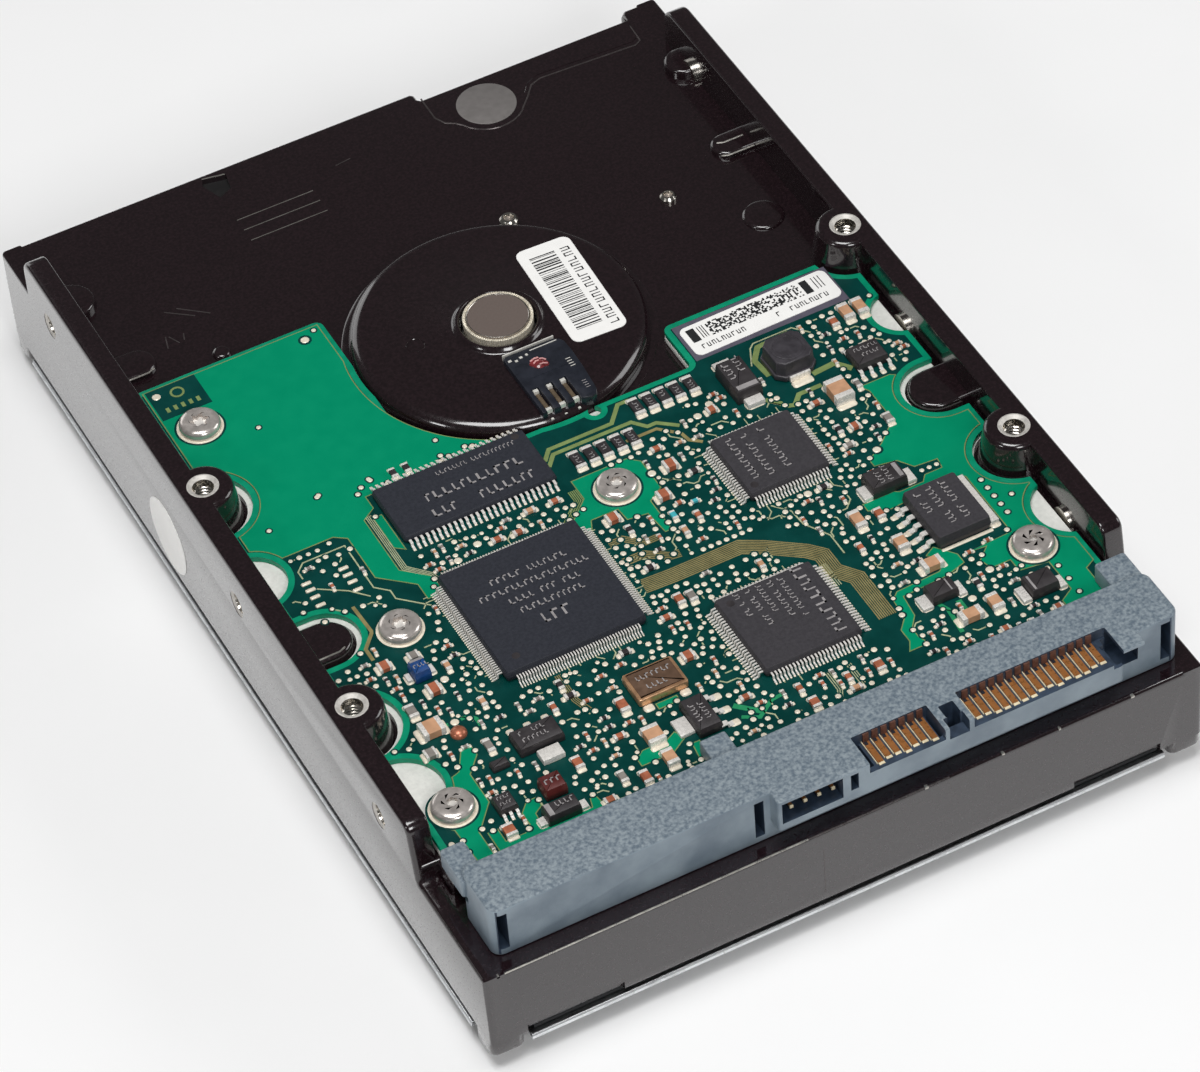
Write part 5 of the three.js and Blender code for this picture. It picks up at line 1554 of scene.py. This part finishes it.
def fan_out(node, count, pitch, reach):
    """Stubs that leave every second lead of a chip, straight or with a bend to either side."""
    low, high = box_mm(node)
    cx, cy = centre_of(node)
    half = (high[0] - low[0]) / 2 + reach
    for ox, oy in (RIGHT, LEFT, BACK, FRONT):
        sx, sy = -oy, ox
        for k in range(0, count, 2):
            s = (k - (count - 1) / 2) * pitch
            x, y = cx + ox * half + sx * s, cy + oy * half + sy * s
            run = dice.uniform(0.8, 3.4)
            bend = dice.choice((-1, 0, 1)) * dice.uniform(0.4, 1.4)
            kx, ky = x + ox * run * 0.4, y + oy * run * 0.4
            ex, ey = kx + ox * abs(bend) + sx * bend, ky + oy * abs(bend) + sy * bend
            if on_board(ex, ey) and is_free(ex, ex, ey, ey):
                trace([(x, y), (kx, ky), (ex, ey)] if bend else [(x, y), (kx, ky)], 0.16, 2)


for *sides, parts, vias in FIELDS:
    strew_parts(*sides, parts)
    strew_vias(*sides, vias)
fan_out("controller_chip", 44, 0.4, 1.35)
fan_out("interface_chip", 25, 0.52, 1.3)
fan_out("motor_driver_chip", 24, 0.46, 1.15)

# Tinned rings under the board screws, each in a dark clearance.
screw_land = above(SURFACE, [(2.0, -0.2), (3.15, -0.2), (3.15, 0.03), (3.05, 0.06), (2.0, 0.06)])
clearance = above(SURFACE, [(3.1, -0.2), (3.45, -0.2), (3.45, 0.004), (3.1, 0.004)])
for at in BOARD_SCREWS:
    lathe(tin, at, screw_land, 0, segments=64, closed=True)
    lathe(copper, at, clearance, 4, segments=64, closed=True)

make("solder_and_vias", tin, [TIN, DARK_MASK], sharp=50)
make("board_traces", copper, [OLIVE, GOLD_TRACE, LIGHT_TRACE, LEAF_TRACE, DARK_MASK])
make("board_components", passives, PASSIVE_FINISHES, sharp=40)


def build_legend():
    """The dark field under the board's label and a generic mark in the corner: a ring over five pads."""
    fields = Shape()
    block(fields, 20.0, 43.2, 3.4, 10.6, SURFACE - 0.2, SURFACE - 0.01, 0)
    block(fields, -45.8, -38.6, 29.9, 35.9, SURFACE - 0.2, SURFACE + 0.01, 1)
    for x in (-44.6, -43.5, -42.4, -41.3, -40.2):
        block(fields, x, x + 0.5, 31.0, 31.9, SURFACE - 0.1, SURFACE + 0.03, 2)
    ring = circle(-41.9, 34, 1.0, 24)
    prism(fields, [ring, circle(-41.9, 34, 0.7, 24)], SURFACE - 0.1, SURFACE + 0.03, 2)
    make("legend_fields", fields, [BARE_GREY, DARK_MASK, OLIVE])


def build_board_label():
    """The board's label: bars, a random matrix code and a row of strokes that spell nothing."""
    label = Shape()
    cx, cy, tilt = 31.7, 7.1, 1.3
    z = SURFACE + 0.12
    prism(label, turned(rounded(20.5, 42.9, 4.2, 10.0, 1.0, 6), cx, cy, tilt), SURFACE, z, 0, high=0.04, steps=1)

    def ink(x0, x1, y0, y1):
        prism(label, turned(rectangle(x0, x1, y0, y1), cx, cy, tilt), z - 0.05, z + 0.012, 1)

    for x0, x1 in ((21.3, 22.5), (38.7, 39.8)):
        ink(x0, x1, 6.7, 9.3)
    for x in (22.9, 23.3, 23.65, 40.5, 41.0, 41.5):
        ink(x, x + 0.13, 6.9, 9.2)
    cell = 0.235
    for i in range(60):
        for j in range(11):
            if dice.random() < 0.5:
                ink(24.2 + i * cell, 24.2 + (i + 1) * cell, 6.75 + j * cell, 6.75 + (j + 1) * cell)
    for start, count in ((21.9, 9), (33.3, 1), (35.4, 8)):
        for k in range(count):
            x = start + k * 0.75
            ink(x, x + 0.14, 5.1, 5.95)
            ink(x + 0.14, x + 0.5, *((5.1, 5.25) if k % 2 else (5.8, 5.95)))
            if k % 3:
                ink(x + 0.38, x + 0.5, 5.1, 5.95)
    make("board_label", label, [LABEL_WHITE, LABEL_INK])


def build_disc_label():
    """The label on the motor disc: a random bar code and a row of strokes that spell nothing."""
    plate = Shape()
    cx, cy, tilt = 12.2, 24.3, -2.5

    def on_disc(loop):
        """The loop tilted with the label and moved to the label's place on the raised disc."""
        return [(x - 0.46, y - 0.7) for x, y in turned(loop, cx, cy, tilt)]

    top = DISC_TOP + 0.12
    prism(plate, on_disc(rounded(8.2, 16.2, 14.4, 34.2, 1.2, 6)), DISC_TOP - 0.05, top, 0, high=0.05, steps=1)

    def bar(x0, x1, y0, y1):
        prism(plate, on_disc(rectangle(x0, x1, y0, y1)), top - 0.05, top + 0.012, 1)

    y = 16.6
    while y < 32.2:
        width = dice.choice((0.1, 0.1, 0.18, 0.26))
        bar(9.6, 13.3, y, y + width)
        y += width + dice.choice((0.12, 0.18, 0.26, 0.36))
    for k in range(15):
        y = 15.6 + k * 1.13
        bar(14.1, 15.4, y, y + 0.16)
        bar(14.1 if k % 2 else 15.2, 14.3 if k % 2 else 15.4, y, y + 0.7)
        if k % 3:
            bar(14.1, 15.4, y + 0.55, y + 0.7)
    make("disc_label", plate, [LABEL_WHITE, LABEL_INK])


def round_seal(name, centre, radius, face, thick, material, turn=along_z):
    """A round sticker on a face of the casting."""
    seal = Shape()
    profile = above(face, [(0, -0.1), (radius, -0.1), (radius, 0.08), (radius - 0.1, thick), (0, thick)])
    lathe(seal, centre, profile, segments=72, turn=turn)
    make(name, seal, [material])


build_legend()
build_board_label()
build_disc_label()
round_seal("plate_seal", (20.1, 65.9), 4.25, PLATE_Z, 0.12, FOIL_GREY)
round_seal("side_seal", (-20.2, 11.4), 5.6, HALF_W, 0.11, LABEL_WHITE, turn=lambda u, v, w: (-w, -u, v))

# ---------------------------------------------------------------- connectors

NYLON_TOP = finish("nylon_mottled", srgb(94, 108, 120), 0.5, spread=0.0, scale=2200, other=srgb(140, 151, 158),
                   grain=0.9, grain_scale=2500)
NYLON_SIDE = finish("nylon_smooth", srgb(104, 118, 130), 0.42, spread=0.0, scale=160, other=srgb(136, 150, 160),
                    grain=0.3)
# A darker copy of the nylon for faces inside the hollows: painted shade.
NYLON_HOLLOW_SHADE = finish("nylon_hollow_painted_shade", srgb(46, 60, 78), 0.5, spread=0.25, scale=900)
CONTACT = finish("contact_copper", srgb(178, 118, 66), 0.3, metallic=0.45, spread=0.1, scale=1500)
# A darker copy of the contact copper: painted shade.
CONTACT_SHADED = finish("contact_painted_shade", srgb(108, 76, 66), 0.4, metallic=0.3, spread=0.2, scale=1500)
# Near-white painted highlight for the contacts' tips and edges.
CONTACT_HIGHLIGHT = finish("contact_painted_highlight", srgb(252, 236, 200), 0.25, metallic=0.2, spread=0.05)
WHITE_METAL = finish("white_metal", srgb(240, 238, 230), 0.25, metallic=0.3, spread=0.06)
# Near-black for painted shadow in notches, gaps and slots.
PAINTED_SHADOW = finish("deep_shadow_plastic", srgb(16, 20, 32), 0.6, spread=0.1)
CARRIER = finish("carrier_plastic", srgb(34, 37, 46), 0.3, spread=0.2, scale=700, coat=0.25)
CARRIER_STRIP = finish("carrier_contact", srgb(128, 112, 92), 0.35, metallic=0.5, spread=0.15)
# Pale painted highlight for the glue drops.
GLUE_HIGHLIGHT = finish("glue_painted_highlight", srgb(228, 170, 168), 0.2, spread=0.2, coat=0.5)

TONGUE_Z = 23.9                          # height of the two contact tongues
BAR_TOP = 25.6
BAR_FRONT, NOSE_FRONT = -70.9, -73.1
SOCKET_BACK = -68.2
DATA_PINS, DATA_FIRST = 7, 5.15
POWER_PINS, POWER_FIRST = 15, 19.2
CONTACT_PITCH = 1.27


def rounded_block(x0, x1, y0, y1, z0, z1, edge, corner):
    return solid(prism, rounded(x0, x1, y0, y1, corner, 3), z0, z1, low=edge, high=edge)


def box_cutter(x0, x1, y0, y1, z0, z1, corner=0.15):
    return solid(prism, rounded(x0, x1, y0, y1, corner, 2), z0, z1)


def build_connector():
    bar = rounded(-47.9, 48.8, BAR_FRONT, -62.3, 1.5, 8)
    shell = solid(prism, bar, LEDGE_Z + 0.1, BAR_TOP, material=NYLON_SIDE, low=0.2, high=0.28, steps=3)
    arm_z = BOARD_TOP + 0.1
    combine(shell, [
        rounded_block(-9.7, 39.4, NOSE_FRONT, -68, 20.3, BAR_TOP, 0.28, 0.5),
        rounded_block(39, 42.5, -72.9, -68, 25.0, BAR_TOP, 0.12, 0.2),
        rounded_block(-48.4, -45.1, -64, -57.9, arm_z, 24.7, 0.15, 0.4),
        rounded_block(44.3, 48.7, -64, -57.6, arm_z, 24.7, 0.15, 0.4),
        rounded_block(-12.6, -9.0, -64, -58, arm_z, 24.2, 0.2, 0.3),
        rounded_block(-9.4, -7.6, -64, -61.6, arm_z, 24.2, 0.2, 0.3),
    ], "UNION")
    chamfer = [(-73.6, 23.6), (-72.5, 24.6), (-74.5, 24.6)]
    nose = [solid(prism, chamfer, x0, x1, turn=along_x) for x0, x1 in ((3.9, 13.85), (17.9, 39.3))]
    # Sides, lowest and highest point and, where it isn't the usual one, the corners' radius.
    pockets = [
        (-50, 52, -64.3, -50, BOARD_LOW[2] - 0.1, arm_z), (3.1, 13.8, -75, SOCKET_BACK, TONGUE_Z, 40, 0.3),
        (3.1, 4.15, -72.3, SOCKET_BACK, 21, 40), (17.9, 39.4, -75, SOCKET_BACK, TONGUE_Z, 40, 0.3),
        (17.9, 18.5, -72.3, SOCKET_BACK, 21, 40), (37.9, 39.35, -75, -69.4, 23.2, 40),
        (38.5, 39.3, -72.6, -68.4, 21.4, 40), (13.35, 13.8, -72.3, SOCKET_BACK, 21.4, 40),
        (14.9, 17.0, -71.3, -69.2, 20.8, 40), (14.4, 17.2, -75, -71.3, 23.6, 40),
        (39.3, 42.7, -75, -67, 20.5, 25.05), (-9.2, -0.7, -75, -65.5, 21.6, 25.1, 0.3),
        (0.4, 1.5, -75, -67, 22.2, 24.9), (-11.9, -10.6, -75, -66.5, 18.4, 24.6),
        (-47.1, -45.8, -75, -66.5, 18.4, 24.6), (46.0, 47.4, -75, -66.5, 18.4, 24.8),
    ]
    hollows = [(p[0:5:2], p[1:6:2]) for p in pockets[1:]]
    cutters = nose + [box_cutter(*p) for p in pockets]
    combine(shell, cutters, "DIFFERENCE")
    mesh = shell.data
    mesh.materials.append(NYLON_TOP)
    mesh.materials.append(NYLON_HOLLOW_SHADE)
    near = 0.03
    # Top faces take the mottled nylon; faces inside the cut hollows, except on the nose's front, take a darker copy
    # as painted shade.
    for face in mesh.polygons:
        spot = [v / MM for v in face.center]
        nose_front = face.normal.y < -0.5 and spot[1] < -72.9
        in_hollow = any(all(a - near <= v <= b + near for v, a, b in zip(spot, *sides)) for sides in hollows)
        if face.normal.z > 0.5 and spot[2] > 25.3 or spot[2] > 23.9 and spot[1] > -64.2:
            face.material_index = 1
        elif in_hollow and not nose_front:
            face.material_index = 2
    shell.name = "connector_shell"
    soften(shell)
    finish_piece(shell, replaces=["connector_housing"], sharp=40)


build_connector()


def build_contacts():
    metal = Shape()
    rows = ((DATA_PINS, DATA_FIRST, (0, 3, 6)), (POWER_PINS, POWER_FIRST, (2, 3, 4, 5, 6, 9, 11, 12)))
    for count, first, long_pins in rows:
        for k in range(count):
            x = first + k * CONTACT_PITCH
            tip = -72.5 if k in long_pins else -72.1
            block(metal, x - 0.4, x + 0.42, tip + 0.3, -68.3, TONGUE_Z - 0.2, TONGUE_Z + 0.07, 0)
            # The part of each contact on the socket's back wall takes a darker copy of the copper: painted shade.
            block(metal, x - 0.4, x + 0.42, -68.4, -68.1, TONGUE_Z - 0.2, 25.42, 1)
            # Painted shadow: a dark notch where each contact meets the back wall.
            block(metal, x - 0.36, x + 0.1, -68.95, -68.4, TONGUE_Z, TONGUE_Z + 0.1, 3)
            # Painted highlight: a near-white block on each contact's tip.
            block(metal, x - 0.42, x + 0.44, tip - 0.1, tip + 0.32, TONGUE_Z - 0.25, TONGUE_Z + 0.12, 2, edge=0.12,
                  steps=2)
            # A thin near-white line beside each contact is a painted highlight; the thin dark line next to it is a
            # painted shadow.
            block(metal, x - 0.62, x - 0.53, tip + 0.2, SOCKET_BACK, TONGUE_Z - 0.2, TONGUE_Z + 0.2, 2)
            block(metal, x - 0.53, x - 0.42, tip + 0.2, SOCKET_BACK, TONGUE_Z - 0.2, TONGUE_Z + 0.03, 3)
    for k in range(4):
        x = -7.2 + 1.95 * k
        tube(metal, [(x, -65.6, 22.3), (x, -71.0, 22.3), (x, -71.6, 22.3)], 0.3, 0, 4)
        # Painted highlight: a near-white block on each pin's tip.
        block(metal, x - 0.25, x + 0.25, -71.75, -71.5, 22.1, 22.6, 2, edge=0.08)
    make("connector_contacts", metal, [CONTACT, CONTACT_SHADED, CONTACT_HIGHLIGHT, PAINTED_SHADOW])


build_contacts()


def build_motor_connector():
    body = Shape()
    z0 = BOARD_TOP + 0.12
    top = 23.5
    slots = [(-1.95, -0.95), (0.05, 1.05), (2.05, 3.05)]
    comb = [(-2.6, 3.7)]
    for x0, x1 in slots:
        comb += [(x0, 3.7), (x0, 8.4), (x1, 8.4), (x1, 3.7)]
    comb += [(3.7, 3.4), (4.5, 3.2), (5.2, 3.5), (5.65, 4.3), (6.05, 9.0), (6.15, 12.6)]
    comb += arc(4.5, 14.0, 1.6, 12, 84, 6) + [(-2.2, 15.7), (-2.6, 15.3)]
    prism(body, comb, z0, top, 0, high=0.16, low=0.05, steps=2)
    # Painted shade: a dark slab at the foot of the slots.
    block(body, -2.3, 3.4, 5.2, 8.8, z0, z0 + 0.5, 3)
    block(body, -0.8, 4.6, 10.25, 10.34, top - 0.1, top + 0.03, 0)
    for x0, x1 in slots:
        x = (x0 + x1) / 2
        block(body, x - 0.3, x + 0.3, 4.9, 7.7, z0 + 0.3, top - 0.5, 1, edge=0.08)
        block(body, x - 0.42, x + 0.3, 7.75, 8.3, z0 + 0.3, top - 0.05, 2, edge=0.1, steps=2)
        block(body, x - 0.42, x + 0.42, 4.1, 4.6, z0 + 0.1, top - 0.25, 2, edge=0.1, steps=2)
        block(body, x - 0.2, x + 0.2, 3.3, 3.8, z0, z0 + 0.25, 2, edge=0.05)
    for k in range(4):
        block(body, 4.55, 5.25, 9.6 + 0.5 * k, 9.72 + 0.5 * k, top - 0.1, top + 0.03, 2)
        block(body, 4.5, 5.1, 5.0 + 0.45 * k, 5.1 + 0.45 * k, top - 0.1, top + 0.025, 4)
    block(body, -2.4, 5.2, 15.95, 16.12, z0, top + 0.05, 2, edge=0.05)
    block(body, 1.2, 5.2, 15.0, 15.14, top - 0.1, top + 0.05, 2)
    for x, y, w in ((-2.0, 14.6, 0.5), (-1.2, 14.2, 0.4), (-0.4, 14.5, 0.45), (0.5, 14.6, 0.35)):
        block(body, x - w / 2, x + w / 2, y - 0.2, y + 0.15, top - 0.1, top + 0.12, 2, edge=0.06)
    make("motor_connector_body", body, [CARRIER, CARRIER_STRIP, WHITE_METAL, PAINTED_SHADOW, MARKING],
         replaces=["motor_connector"])
    glue = Shape()
    for x, y, r, h in ((1.2, 12.3, 1.05, 0.3), (0.5, 12.6, 0.6, 0.35), (1.9, 11.8, 0.55, 0.3)):
        drop = above(top, [(0, -0.2), (r, -0.2), (r * 0.95, 0), (r * 0.7, h * 0.7), (0, h)])
        lathe(glue, (x, y), drop, segments=14)
    # Painted highlights: pale streaks over the glossy glue drops.
    for x0, y0, x1, y1 in ((0.2, 12.9, 1.5, 13.1), (0.4, 12.3, 1.3, 12.6), (1.0, 11.8, 2.1, 11.5),
                           (1.5, 12.8, 2.2, 12.2)):
        middle = ((x0 + x1) / 2, (y0 + y1) / 2 + 0.1, top + 0.36)
        tube(glue, [(x0, y0, top + 0.3), middle, (x1, y1, top + 0.28)], 0.1, 1, 5)
    make("motor_connector_glue", glue, [GLUE, GLUE_HIGHLIGHT])


build_motor_connector()
